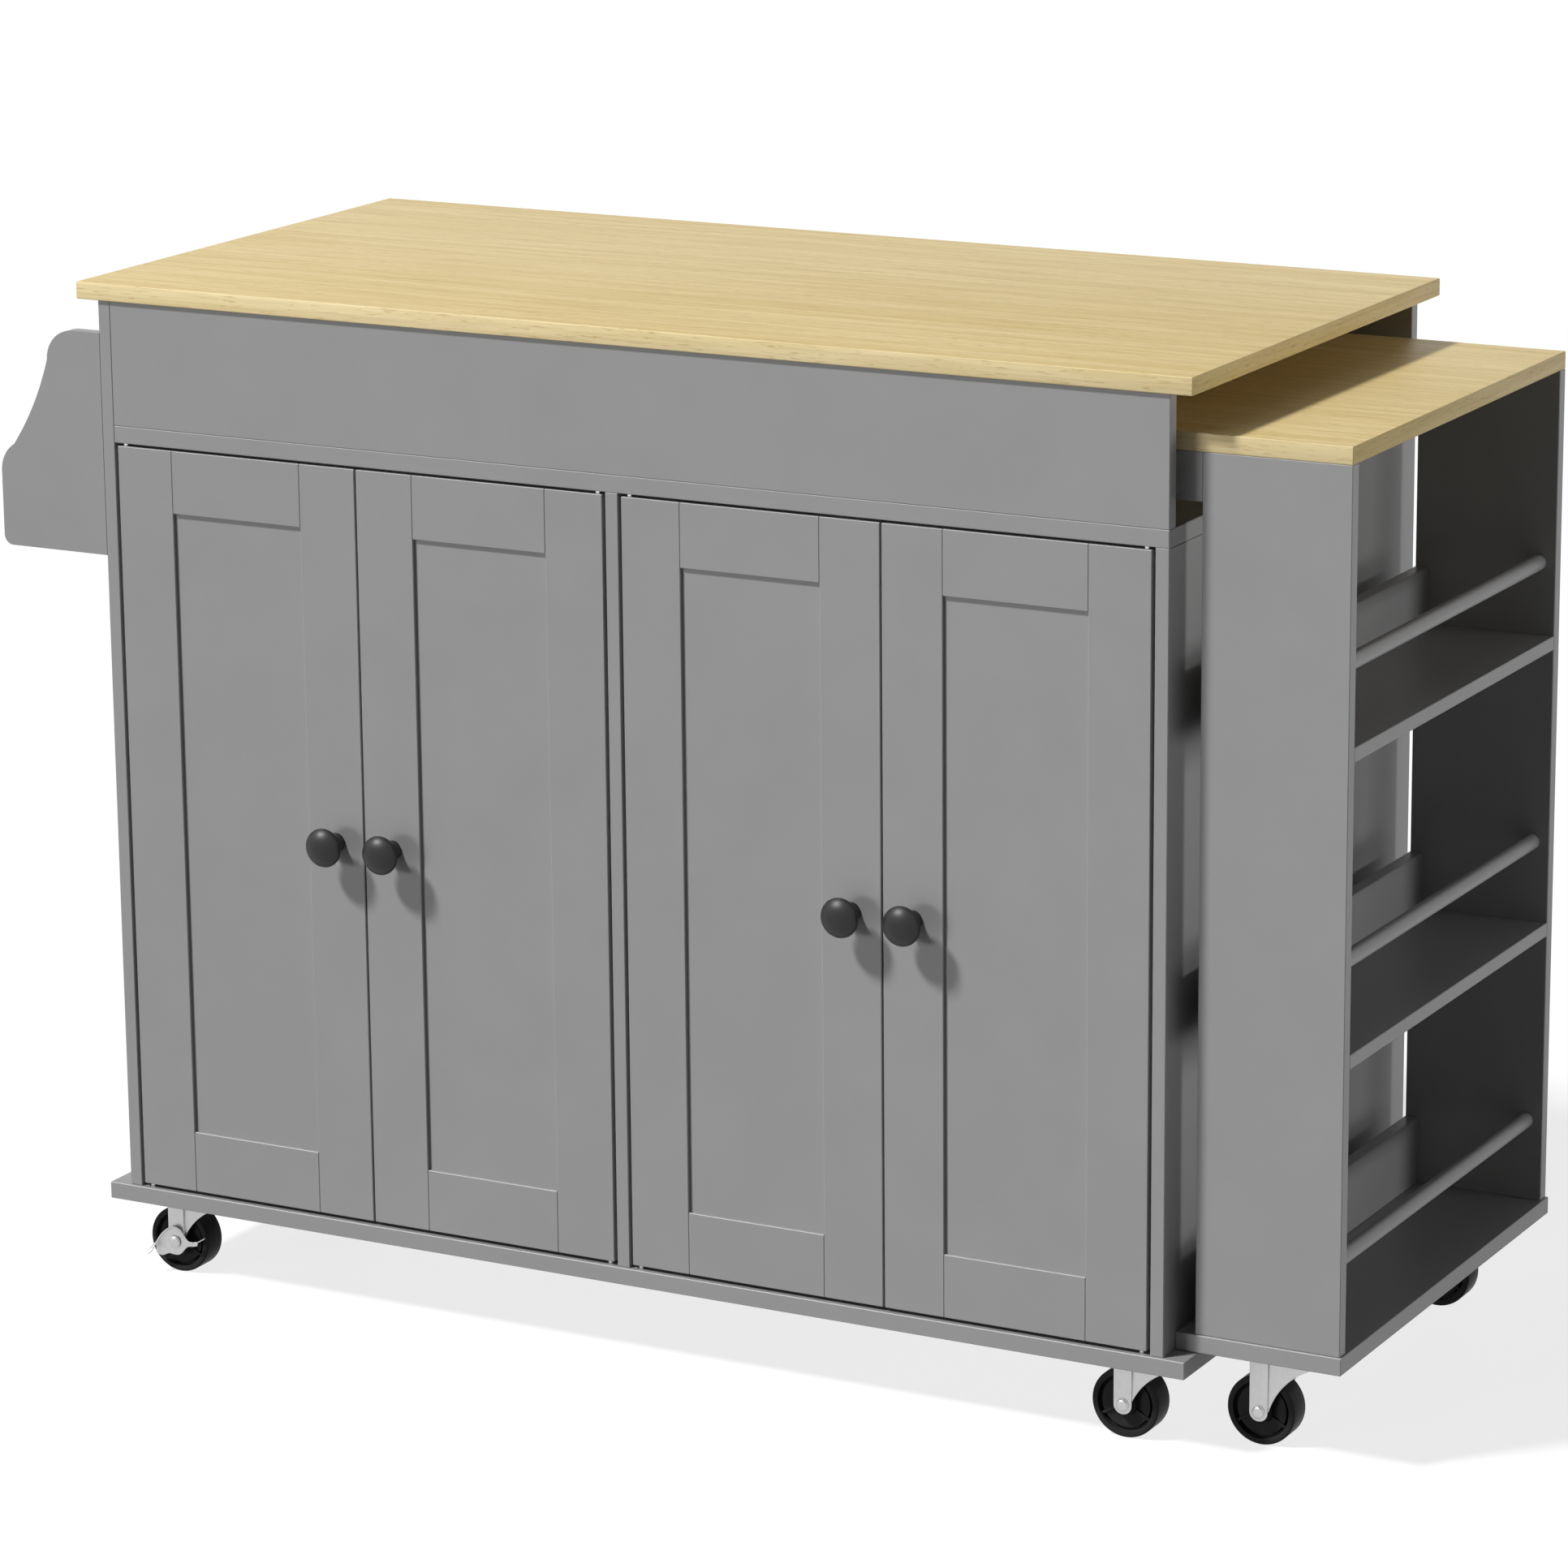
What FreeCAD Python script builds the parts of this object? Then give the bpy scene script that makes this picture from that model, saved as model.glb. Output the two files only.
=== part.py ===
import FreeCAD, Part
import math
import os

# Rolling kitchen island: a four-door cabinet on casters, with a table top that pulls out of a bay
# under the worktop and is carried at its outer end by a narrow rolling shelf cart.
# Millimetres. X runs from left to right along the front, Y from front to back, Z up from the floor.

Vector = FreeCAD.Vector

# Boards, edges and clearances shared by all pieces
board_thickness = 15.0
panel_thickness = 12.0
edge_break = 0.6
running_gap = 0.3
shaft_fit = 0.05
cut_overrun = 5.0

# Cabinet
worktop_length = 1047.0
worktop_depth = 510.0
side_overhang = 20.0
front_overhang = 3.0
caster_height = 70.0
opening_height = 671.5
fascia_height = 108.5
back_panel_thickness = 5.0
back_panel_inset = 6.0

# Adjustable shelves and the pins that carry them
shelf_lift = 330.0
shelf_setback = 32.0
shelf_side_gap = 1.0
shelf_pin_diameter = 5.0
shelf_pin_length = 9.0
shelf_pin_depth = 5.5
shelf_pin_inset = 50.0
shelf_hole_pitch = 32.0

# Doors, their pivots and their fittings
door_thickness = 15.0
door_side_gap = 3.0
door_meeting_gap = 1.6
door_top_gap = 2.4
door_bottom_gap = 3.1
frame_width = 55.0
panel_recess = 3.0
door_panel_thickness = 5.0
groove_depth = 8.0
pivot_edge_inset = 6.0
pivot_face_inset = 5.0
pivot_diameter = 5.0
pivot_reach = 12.0
pivot_seat = 9.0
pivot_end_gap = 1.0
knob_lift = 338.0
knob_length = 30.0
knob_diameter = 34.0
knob_neck_diameter = 13.0
knob_base_diameter = 17.0
knob_screw_diameter = 4.0
knob_screw_bite = 12.0
screw_head_diameter = 8.0
screw_head_height = 2.2
strike_length = 40.0
strike_height = 11.0
strike_thickness = 1.5
strike_inset = 40.0
catch_length = 46.0
catch_depth = 16.0
catch_height = 15.0
catch_pole_thickness = 1.5
catch_pole_reach = 1.0

# Pull-out table top, its aprons and its slides
extension_length = 900.0
extension_drop = 34.0
extension_reach = 124.0
apron_height = 40.0
slide_gap = 12.7
slide_length = 600.0
slide_end_inset = 7.0
slide_height = 35.0
slide_sheet = 1.5
slide_outer_lip = 8.5
slide_middle_standoff = 3.0
slide_middle_lip = 10.5
slide_inner_lip = 7.2

# Shelf cart
cart_width = 127.0
cart_board_lip = 2.0
cart_ride_gap = 0.5
dock_gap = 0.3
lower_bay_height = 238.5
middle_bay_height = 240.0
back_strip_height = 49.0
bottom_strip_height = 60.0
guard_rail_diameter = 14.0
guard_rail_inset = 15.3
guard_rail_seat = 5.0
bottom_rail_lift = 72.0
middle_rail_lift = 71.0
top_rail_lift = 63.0

# Bottle rack on the left side
rack_depth = 107.5
rack_height = 194.5
rack_drop = 29.0
rack_corner_radius = 9.0
rack_shelf_lift = 12.0
rack_shelf_setback = 12.5
rack_rail_diameter = 14.0
rack_rail_lift = 60.0
rack_rail_setback = 14.0
rack_rail_seat = 5.0

# Casters
wheel_diameter = 60.0
wheel_width = 24.0
tread_round = 1.8
rim_thickness = 5.5
wheel_web_thickness = 12.0
groove_width = 2.4
dish_lip = 3.4
dish_fall = 1.4
hub_diameter = 20.0
hub_width = 25.4
rib_thickness = 2.4
rib_setback = 1.5
wheel_rib_count = 3
caster_trail = 13.0
caster_inset_left = 65.0
caster_inset_right = 53.0
caster_inset_depth = 41.0
cart_caster_inset_front = 50.0
cart_caster_inset_rear = 30.0
plate_length = 62.0
plate_width = 50.0
plate_thickness = 2.0
plate_corner_radius = 6.0
race_height = 3.5
race_diameter = 34.0
kingpin_diameter = 10.0
kingpin_head_diameter = 14.0
kingpin_head_height = 1.0
fork_sheet = 2.2
fork_bend_radius = 3.5
fork_web_width = 30.8
fork_leg_width = 34.0
fork_leg_breadth = 18.6
fork_joggle = 2.5
crown_reach = 31.0
axle_diameter = 8.0
rivet_head_diameter = 11.6
rivet_head_height = 3.0
plate_hole_diameter = 5.2
plate_hole_spacing_x = 48.0
plate_hole_spacing_y = 36.0
caster_screw_diameter = 4.0
caster_screw_bite = 10.0
caster_screw_head_diameter = 7.6
caster_screw_head_height = 2.0
lever_length = 46.0
lever_sheet = 2.0
lever_tab_length = 12.0
lever_tab_width = 9.0

# Shares of the rack's depth and height that its end panels' outline passes through
rack_edge_top_share = 0.34
rack_shoulder_shares = ((0.965, 0.41), (0.87, 0.463))
rack_sweep_shares = ((0.668, 0.647), (0.515, 0.861))
rack_crest_shares = ((0.442, 0.959), (0.264, 1.0))

# Shares of the knob's length and head radius along its turned outline
knob_base_share = 0.07
knob_neck_share = 0.28
knob_flare_share = 0.5
knob_flare_radius_share = 0.62
knob_rim_shares = (0.62, 0.7, 0.78)
knob_rim_radius_share = 0.94

# Share of its chord by which the swept edge of a caster fork bows in
fork_sweep_share = 0.085

# Shares of the brake lever's length that its stamped outline passes through, from the axle
lever_outline_shares = (
    (-0.51, -0.25), (-0.29, 0.10), (0.0, 0.265), (0.165, 0.163), (0.283, 0.04), (0.487, 0.067),
    (0.435, -0.033), (0.217, -0.16), (0.037, -0.25), (-0.172, -0.235), (-0.307, -0.298),
)


def span(start, size):
    """Low and high limit of something that starts at a place and has a size."""
    return (start, start + size)


def middle(limits):
    return (limits[0] + limits[1]) / 2


def centred(place, size):
    return (place - size / 2, place + size / 2)


def block(x, y, z):
    """Square-edged block between three pairs of limits."""
    return Part.makeBox(x[1] - x[0], y[1] - y[0], z[1] - z[0], Vector(x[0], y[0], z[0]))


def board(x, y, z):
    """Board between three pairs of limits, with all its edges slightly broken."""
    blank = block(x, y, z)
    return blank.makeChamfer(edge_break, blank.Edges)


def rod(start, axis, diameter, length):
    return Part.makeCylinder(diameter / 2, length, start, axis)


def outline_face(edges):
    return Part.Face(Part.Wire(edges))


def line(start, end):
    return Part.makeLine(start, end)


def arc(start, through, end):
    return Part.Arc(start, through, end).toShape()


def cap_point(radius, rise):
    """Radius and height of the point halfway up a shallow spherical cap."""
    sphere = (radius * radius + rise * rise) / (2 * rise)
    half_angle = math.asin(radius / sphere) / 2
    return sphere * math.sin(half_angle), rise - sphere * (1 - math.cos(half_angle))


def cut_all(shape, tools):
    return shape.cut(Part.makeCompound(tools)) if tools else shape


left, right = Vector(-1, 0, 0), Vector(1, 0, 0)
front, back = Vector(0, -1, 0), Vector(0, 1, 0)
down, up = Vector(0, 0, -1), Vector(0, 0, 1)

# Levels of the cabinet, from the floor up
base_z = span(caster_height, board_thickness)
opening_z = span(base_z[1], opening_height)
deck_z = span(opening_z[1], board_thickness)
fascia_z = span(deck_z[1], fascia_height)
worktop_z = span(fascia_z[1], board_thickness)

# Places along and across the cabinet, from the worktop's front left corner
top_x = (0, worktop_length)
top_y = (0, worktop_depth)
body_y = (front_overhang, worktop_depth)
left_x = span(side_overhang, panel_thickness)
right_x = span(worktop_length - side_overhang - panel_thickness, panel_thickness)
divider_x = centred(middle(top_x), panel_thickness)
bay_x = (left_x[1], right_x[1])
front_fascia_y = span(body_y[0], panel_thickness)
rear_fascia_y = span(body_y[1] - panel_thickness, panel_thickness)
door_y = span(body_y[0], door_thickness)
back_panel_y = span(body_y[1] - back_panel_inset - back_panel_thickness, back_panel_thickness)
compartments = ((left_x[1], divider_x[0]), (divider_x[1], right_x[0]))
shelf_z = span(base_z[1] + shelf_lift, panel_thickness)
shelf_y = (door_y[1] + shelf_setback, back_panel_y[0])

# Doors, two to a compartment, hinged at its outer edges
door_z = (opening_z[0] + door_bottom_gap, opening_z[1] - door_top_gap)
pivot_y = door_y[0] + pivot_face_inset
knob_z = door_z[0] + knob_lift
door_names = ("far_left_door", "mid_left_door", "mid_right_door", "far_right_door")


def door_limits(index):
    """Left and right edge of a door, and whether it hinges on its left edge."""
    low, high = compartments[index // 2]
    width = (high - low - door_side_gap - door_side_gap - door_meeting_gap) / 2
    hinge_left = index % 2 == 0
    start = low + door_side_gap if hinge_left else high - door_side_gap - width
    return span(start, width), hinge_left


def pivot_x(index):
    limits, hinge_left = door_limits(index)
    return limits[0] + pivot_edge_inset if hinge_left else limits[1] - pivot_edge_inset


# Table top and cart, docked against the cabinet
extension_y = (front_fascia_y[1] + slide_gap, rear_fascia_y[0] - slide_gap)
extension_z = span(worktop_z[0] - extension_drop - board_thickness, board_thickness)
extension_x = span(worktop_length + extension_reach - extension_length, extension_length)
apron_z = (extension_z[0] - apron_height, extension_z[0])
cart_x = (extension_x[1] - cart_width, extension_x[1])
cart_front_y = span(extension_y[0], panel_thickness)
cart_rear_y = span(extension_y[1] - panel_thickness, panel_thickness)
cart_inside_y = (cart_front_y[1], cart_rear_y[0])
cart_board_x = (right_x[1] + dock_gap, cart_x[1] + cart_board_lip)
cart_board_y = (extension_y[0] - cart_board_lip, extension_y[1] + cart_board_lip)
cart_board_z = span(base_z[1] + cart_ride_gap, board_thickness)
lower_shelf_z = span(cart_board_z[1] + lower_bay_height, panel_thickness)
upper_shelf_z = span(lower_shelf_z[1] + middle_bay_height, panel_thickness)
cart_floors = (cart_board_z[1], lower_shelf_z[1], upper_shelf_z[1])
strip_heights = (bottom_strip_height, back_strip_height, back_strip_height)
rail_lifts = (bottom_rail_lift, middle_rail_lift, top_rail_lift)
guard_rail_x = cart_x[1] - guard_rail_inset
slide_x = span(bay_x[1] - slide_end_inset - slide_length, slide_length)
slide_z = middle(apron_z)

# Rack on the outside of the left panel
rack_z = span(worktop_z[0] - rack_drop - rack_height, rack_height)
rack_front_y = span(body_y[0], panel_thickness)
rack_rear_y = span(body_y[1] - panel_thickness, panel_thickness)
rack_inside_y = (rack_front_y[1], rack_rear_y[0])
rack_x = (left_x[0] - rack_depth, left_x[0])
rack_shelf_z = span(rack_z[0] + rack_shelf_lift, panel_thickness)
rack_rail_x = rack_x[0] + rack_rail_setback
rack_rail_z = rack_z[0] + rack_rail_lift

# Swivel axes: name, X, Y, height of the board it is screwed to, and the side its brake lever faces
cart_caster_x = middle(cart_board_x)
caster_places = (
    ("front_left", caster_inset_left, caster_inset_depth, base_z[0], -1),
    ("rear_left", caster_inset_left, worktop_depth - caster_inset_depth, base_z[0], 1),
    ("front_right", worktop_length - caster_inset_right, caster_inset_depth, base_z[0], 0),
    ("rear_right", worktop_length - caster_inset_right, worktop_depth - caster_inset_depth, base_z[0], 0),
    ("cart_front", cart_caster_x, cart_board_y[0] + cart_caster_inset_front, cart_board_z[0], 0),
    ("cart_rear", cart_caster_x, cart_board_y[1] - cart_caster_inset_rear, cart_board_z[0], 0),
)
cabinet_casters = caster_places[:4]
cart_casters = caster_places[4:]
axle_x = -caster_trail
axle_z = wheel_diameter / 2

# The part's origin is on the floor, under the middle of its outline
origin = Vector((rack_x[0] + cart_board_x[1]) / 2, (door_y[0] - knob_length + worktop_depth) / 2, 0)


def caster_screw_spots(casters):
    """Centres of the four screws of each caster plate."""
    return [
        (x + sx * plate_hole_spacing_x / 2, y + sy * plate_hole_spacing_y / 2, z)
        for name, x, y, z, brake in casters
        for sx in (-1, 1)
        for sy in (-1, 1)
    ]


def screw_pilots(casters):
    return [rod(Vector(x, y, z), up, caster_screw_diameter, caster_screw_bite)
            for x, y, z in caster_screw_spots(casters)]


def shelf_pin_rows():
    """Place on the panel face, direction into the panel, and depth place of each shelf pin."""
    depths = (shelf_y[0] + shelf_pin_inset, shelf_y[1] - shelf_pin_inset)
    for low, high in compartments:
        for y in depths:
            yield low, left, y
            yield high, right, y


shelf_pin_z = shelf_z[0] - shelf_pin_diameter / 2


def shelf_holes(face_places):
    """Rows of three holes, one pitch apart, for the pins of the given panel faces."""
    return [
        rod(Vector(x, y, shelf_pin_z + step * shelf_hole_pitch), axis, shelf_pin_diameter, shelf_pin_depth)
        for x, axis, y in shelf_pin_rows()
        if x in face_places
        for step in (-1, 0, 1)
    ]


def pivot_seats(z, axis):
    return [rod(Vector(pivot_x(index), pivot_y, z), axis, pivot_diameter, pivot_seat)
            for index in range(len(door_names))]


def cabinet_boards():
    worktop = board(top_x, top_y, worktop_z)
    base = board(top_x, top_y, base_z)
    base = cut_all(base, screw_pilots(cabinet_casters) + pivot_seats(base_z[1], down))
    deck = cut_all(board(bay_x, body_y, deck_z), pivot_seats(deck_z[0], up))
    left_panel = cut_all(board(left_x, body_y, (base_z[1], worktop_z[0])), shelf_holes((left_x[1],)))
    right_panel = cut_all(board(right_x, body_y, opening_z), shelf_holes((right_x[0],)))
    divider = cut_all(board(divider_x, body_y, opening_z), shelf_holes(divider_x))
    return {
        "worktop": [worktop],
        "base_board": [base],
        "deck_board": [deck],
        "left_side_panel": [left_panel],
        "right_side_panel": [right_panel],
        "center_divider": [divider],
        "front_fascia": [board(bay_x, front_fascia_y, fascia_z)],
        "rear_fascia": [board(bay_x, rear_fascia_y, fascia_z)],
        "back_panels": [block(limits, back_panel_y, opening_z) for limits in compartments],
        "adjustable_shelves": [
            board((low + shelf_side_gap, high - shelf_side_gap), shelf_y, shelf_z)
            for low, high in compartments
        ],
    }


def shelf_pins():
    pins = []
    for x, axis, y in shelf_pin_rows():
        start = Vector(x, y, shelf_pin_z) + axis * shelf_pin_depth
        pins.append(rod(start, axis * -1, shelf_pin_diameter, shelf_pin_depth + shelf_pin_length))
    return pins


def door_pivot_pins():
    length = pivot_seat + pivot_reach
    pins = []
    for index in range(len(door_names)):
        x = pivot_x(index)
        foot = Vector(x, pivot_y, base_z[1] - pivot_seat)
        head = Vector(x, pivot_y, deck_z[0] + pivot_seat)
        pins.append(rod(foot, up, pivot_diameter, length + door_bottom_gap))
        pins.append(rod(head, down, pivot_diameter, length + door_top_gap))
    return pins


def catch_x(index):
    limits, hinge_left = door_limits(index)
    return limits[1] - strike_inset if hinge_left else limits[0] + strike_inset


strike_y = span(door_y[1], strike_thickness)
strike_z = (door_z[1] - edge_break - strike_height, door_z[1] - edge_break)


def magnetic_catches():
    """A housing under the deck behind each door, with two pole plates facing the strike plate."""
    pole_front = strike_y[1] + running_gap
    housing_y = span(pole_front + catch_pole_reach, catch_depth)
    housing_z = (deck_z[0] - catch_height, deck_z[0])
    pole_y = (pole_front, middle(housing_y))
    pole_z = (strike_z[0], middle(housing_z))
    solids = []
    for index in range(len(door_names)):
        x = catch_x(index)
        housing = board(centred(x, catch_length), housing_y, housing_z)
        poles = [block(centred(x + side * strike_length / 4, catch_pole_thickness), pole_y, pole_z)
                 for side in (-1, 1)]
        solids += [cut_all(housing, poles)] + poles
    return solids


def knob_profile():
    """Half outline of a turned knob: a flared foot, a waist and a shallow domed head."""
    head = knob_diameter / 2
    base = knob_base_diameter / 2
    neck = knob_neck_diameter / 2

    def at(radius, share):
        return Vector(radius, -knob_length * share, 0)

    rim_low, rim_mid, rim_high = knob_rim_shares
    rim = head * knob_rim_radius_share
    flare = head * knob_flare_radius_share
    dome_radius, dome_rise = cap_point(rim, knob_length * (1 - rim_high))
    dome = at(dome_radius, rim_high) + front * dome_rise
    return outline_face([
        line(at(0, 0), at(base, 0)),
        line(at(base, 0), at(base, knob_base_share)),
        arc(at(base, knob_base_share), at(neck, knob_neck_share), at(flare, knob_flare_share)),
        line(at(flare, knob_flare_share), at(rim, rim_low)),
        arc(at(rim, rim_low), at(head, rim_mid), at(rim, rim_high)),
        arc(at(rim, rim_high), dome, at(0, 1)),
        line(at(0, 1), at(0, 0)),
    ])


def door_pieces(index):
    """Frame of two grooved stiles and two tenoned rails, its floating panel, and its fittings."""
    limits, hinge_left = door_limits(index)
    groove_y = span(door_y[0] + panel_recess, door_panel_thickness)
    inner_x = (limits[0] + frame_width, limits[1] - frame_width)
    inner_z = (door_z[0] + frame_width, door_z[1] - frame_width)
    panel_x = (inner_x[0] - groove_depth, inner_x[1] + groove_depth)
    panel_z = (inner_z[0] - groove_depth, inner_z[1] + groove_depth)
    groove = block(panel_x, groove_y, (door_z[0] - cut_overrun, door_z[1] + cut_overrun))
    stile_limits = ((limits[0], inner_x[0]), (inner_x[1], limits[1]))
    stiles = [board(x, door_y, door_z).cut(groove) for x in stile_limits]

    bore_depth = pivot_reach + pivot_end_gap
    bore = pivot_diameter + 2 * shaft_fit
    bores = [rod(Vector(pivot_x(index), pivot_y, door_z[0]), up, bore, bore_depth),
             rod(Vector(pivot_x(index), pivot_y, door_z[1]), down, bore, bore_depth)]
    knob_x = limits[1] - frame_width / 2 if hinge_left else limits[0] + frame_width / 2
    knob_face = Vector(knob_x, door_y[0], knob_z)
    knob_hole = rod(knob_face, back, knob_screw_diameter, door_thickness)
    hinge_stile, meeting_stile = (0, 1) if hinge_left else (1, 0)
    stiles[hinge_stile] = cut_all(stiles[hinge_stile], bores)
    stiles[meeting_stile] = stiles[meeting_stile].cut(knob_hole)

    rails = []
    for rail_z, tenon_z in (((door_z[0], inner_z[0]), (door_z[0], panel_z[0])),
                            ((inner_z[1], door_z[1]), (panel_z[1], door_z[1]))):
        panel_groove = block(inner_x, groove_y, panel_z)
        rail = board(inner_x, door_y, rail_z).cut(panel_groove)
        tenons = [block((panel_x[0], inner_x[0] + edge_break), groove_y, tenon_z),
                  block((inner_x[1] - edge_break, panel_x[1]), groove_y, tenon_z)]
        rails.append(rail.fuse(tenons).removeSplitter())

    bite = rod(knob_face, front, knob_screw_diameter, knob_screw_bite)
    knob = knob_profile().revolve(Vector(0, 0, 0), front, 360)
    knob.translate(knob_face)
    screw_foot = knob_face + back * door_thickness
    screw = rod(screw_foot, front, knob_screw_diameter, door_thickness + knob_screw_bite)
    screw = screw.fuse(rod(screw_foot, back, screw_head_diameter, screw_head_height)).removeSplitter()
    strike = block(centred(catch_x(index), strike_length), strike_y, strike_z)
    name = door_names[index]
    return {
        name + "_frame": stiles + rails,
        name + "_panel": [block(panel_x, groove_y, panel_z)],
        name + "_hardware": [knob.cut(bite), screw, strike],
    }


def channel(web_y, lip_y, half_height):
    """Thin C section along the slide: a web, and two lips that reach to another plane."""
    z = centred(slide_z, 2 * half_height)
    reach = (min(web_y + lip_y), max(web_y + lip_y))
    inside = (reach[0] - cut_overrun, web_y[0]) if lip_y[0] < web_y[0] else (web_y[1], reach[1] + cut_overrun)
    hollow = block((slide_x[0] - cut_overrun, slide_x[1] + cut_overrun), inside,
                   (z[0] + slide_sheet, z[1] - slide_sheet))
    return block(slide_x, reach, z).cut(hollow)


def slide_members():
    """Outer, middle and inner member of the slides, for the front wall and, turned round, the rear."""
    nest = slide_sheet + running_gap
    wall, apron = front_fascia_y[1], extension_y[0]
    halves = (slide_height / 2, slide_height / 2 - nest, slide_height / 2 - nest - nest)
    sections = {
        "slide_outer_members": (span(wall, slide_sheet), (wall, wall + slide_outer_lip)),
        "slide_middle_members": (span(wall + slide_middle_standoff, slide_sheet),
                                 (wall + slide_middle_standoff, wall + slide_middle_lip)),
        "slide_inner_members": (span(apron - slide_sheet, slide_sheet), (apron - slide_inner_lip, apron)),
    }
    axis_place = Vector(middle(slide_x), middle((wall, rear_fascia_y[0])), slide_z)
    nodes = {}
    for (name, (web_y, lip_y)), half in zip(sections.items(), halves):
        member = channel(web_y, lip_y, half)
        twin = member.copy()
        twin.rotate(axis_place, up, 180)
        nodes[name] = [member, twin]
    return nodes


def extension_pieces():
    front_apron = board((extension_x[0], cart_x[0]), cart_front_y, apron_z)
    rear_apron = board((extension_x[0], cart_x[0]), cart_rear_y, apron_z)
    return {
        "extension_top": [board(extension_x, extension_y, extension_z)],
        "extension_side_aprons": [front_apron, rear_apron],
        "extension_end_apron": [board(span(extension_x[0], panel_thickness), cart_inside_y, apron_z)],
    }


def cart_rails():
    start_y = cart_inside_y[0] - guard_rail_seat
    length = cart_inside_y[1] - cart_inside_y[0] + 2 * guard_rail_seat
    return [rod(Vector(guard_rail_x, start_y, floor + lift), back, guard_rail_diameter, length)
            for floor, lift in zip(cart_floors, rail_lifts)]


def cart_pieces():
    panel_z = (cart_board_z[1], extension_z[0])
    rails = cart_rails()
    bottom = cut_all(board(cart_board_x, cart_board_y, cart_board_z), screw_pilots(cart_casters))
    strip_x = span(cart_x[0], panel_thickness)
    return {
        "cart_front_panel": [cut_all(board(cart_x, cart_front_y, panel_z), rails)],
        "cart_rear_panel": [cut_all(board(cart_x, cart_rear_y, panel_z), rails)],
        "cart_bottom_board": [bottom],
        "cart_shelves": [board(cart_x, cart_inside_y, z) for z in (lower_shelf_z, upper_shelf_z)],
        "cart_back_strips": [board(strip_x, cart_inside_y, span(floor, height))
                             for floor, height in zip(cart_floors, strip_heights)],
        "cart_guard_rails": rails,
    }


def rack_end(y):
    """End panel of the rack: square to the cabinet, with a rounded nose that sweeps up to a crest."""
    def at(depth_share, height_share):
        return Vector(rack_x[1] - rack_depth * depth_share, y[0], rack_z[0] + rack_height * height_share)

    foot, heel = at(0, 0), at(1, 0)
    corner = rack_corner_radius
    bevel = corner * (1 - math.sqrt(2) / 2)
    edge_top = at(1, rack_edge_top_share)
    shoulder, sweep, crest = rack_shoulder_shares, rack_sweep_shares, rack_crest_shares
    face = outline_face([
        line(foot, heel + right * corner),
        arc(heel + right * corner, heel + right * bevel + up * bevel, heel + up * corner),
        line(heel + up * corner, edge_top),
        arc(edge_top, at(*shoulder[0]), at(*shoulder[1])),
        arc(at(*shoulder[1]), at(*sweep[0]), at(*sweep[1])),
        arc(at(*sweep[1]), at(*crest[0]), at(*crest[1])),
        line(at(*crest[1]), at(0, 1)),
        line(at(0, 1), foot),
    ])
    return face.extrude(back * (y[1] - y[0]))


def rack_pieces():
    rail_start = Vector(rack_rail_x, rack_inside_y[0] - rack_rail_seat, rack_rail_z)
    rail_length = rack_inside_y[1] - rack_inside_y[0] + 2 * rack_rail_seat
    rail = rod(rail_start, back, rack_rail_diameter, rail_length)
    shelf_x = (rack_x[0] + rack_shelf_setback, rack_x[1])
    return {
        "rack_front_end": [rack_end(rack_front_y).cut(rail)],
        "rack_rear_end": [rack_end(rack_rear_y).cut(rail)],
        "rack_shelf": [board(shelf_x, rack_inside_y, rack_shelf_z)],
        "rack_rail": [rail],
    }


def caster_plate(x, y, z):
    """Stamped top plate with rounded corners, a raised swivel race below it and four screw holes."""
    blank = block(centred(x, plate_length), centred(y, plate_width), (z - plate_thickness, z))
    corners = [edge for edge in blank.Edges if abs(edge.tangentAt(edge.FirstParameter).z) > 0.5]
    plate = blank.makeFillet(plate_corner_radius, corners)
    race_foot = Vector(x, y, z - plate_thickness - race_height)
    plate = plate.fuse(rod(race_foot, up, race_diameter, race_height)).removeSplitter()
    depth = plate_thickness + race_height
    holes = [rod(race_foot, up, kingpin_diameter + 2 * shaft_fit, depth)]
    for sx in (-1, 1):
        for sy in (-1, 1):
            spot = Vector(x + sx * plate_hole_spacing_x / 2, y + sy * plate_hole_spacing_y / 2, z)
            holes.append(rod(spot, down, plate_hole_diameter, plate_thickness))
    return cut_all(plate, holes)


def caster_screws(casters):
    screws = []
    for x, y, z in caster_screw_spots(casters):
        seat = Vector(x, y, z - plate_thickness)
        shank = rod(seat, up, caster_screw_diameter, plate_thickness + caster_screw_bite)
        head = rod(seat, down, caster_screw_head_diameter, caster_screw_head_height)
        screws.append(shank.fuse(head).removeSplitter())
    return screws


def rivet(reach_front, reach_back):
    """Axle rivet along Y with a domed head past each end of its grip."""
    radius, head, rise = axle_diameter / 2, rivet_head_diameter / 2, rivet_head_height
    dome_radius, dome_rise = cap_point(head, rise)

    def at(r, y):
        return Vector(r, y, 0)

    return outline_face([
        line(at(0, -reach_front - rise), at(0, reach_back + rise)),
        arc(at(0, reach_back + rise), at(dome_radius, reach_back + dome_rise), at(head, reach_back)),
        line(at(head, reach_back), at(radius, reach_back)),
        line(at(radius, reach_back), at(radius, -reach_front)),
        line(at(radius, -reach_front), at(head, -reach_front)),
        arc(at(head, -reach_front), at(dome_radius, -reach_front - dome_rise), at(0, -reach_front - rise)),
    ]).revolve(Vector(0, 0, 0), back, 360)


def bend_edges(blank, radius):
    """Rounds the two upper edges of a blank that run along X."""
    top = blank.BoundBox.ZMax
    folds = [edge for edge in blank.Edges
             if abs(edge.tangentAt(edge.FirstParameter).x) > 0.5 and edge.BoundBox.ZMin > top - cut_overrun]
    return blank.makeFillet(radius, folds)


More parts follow.
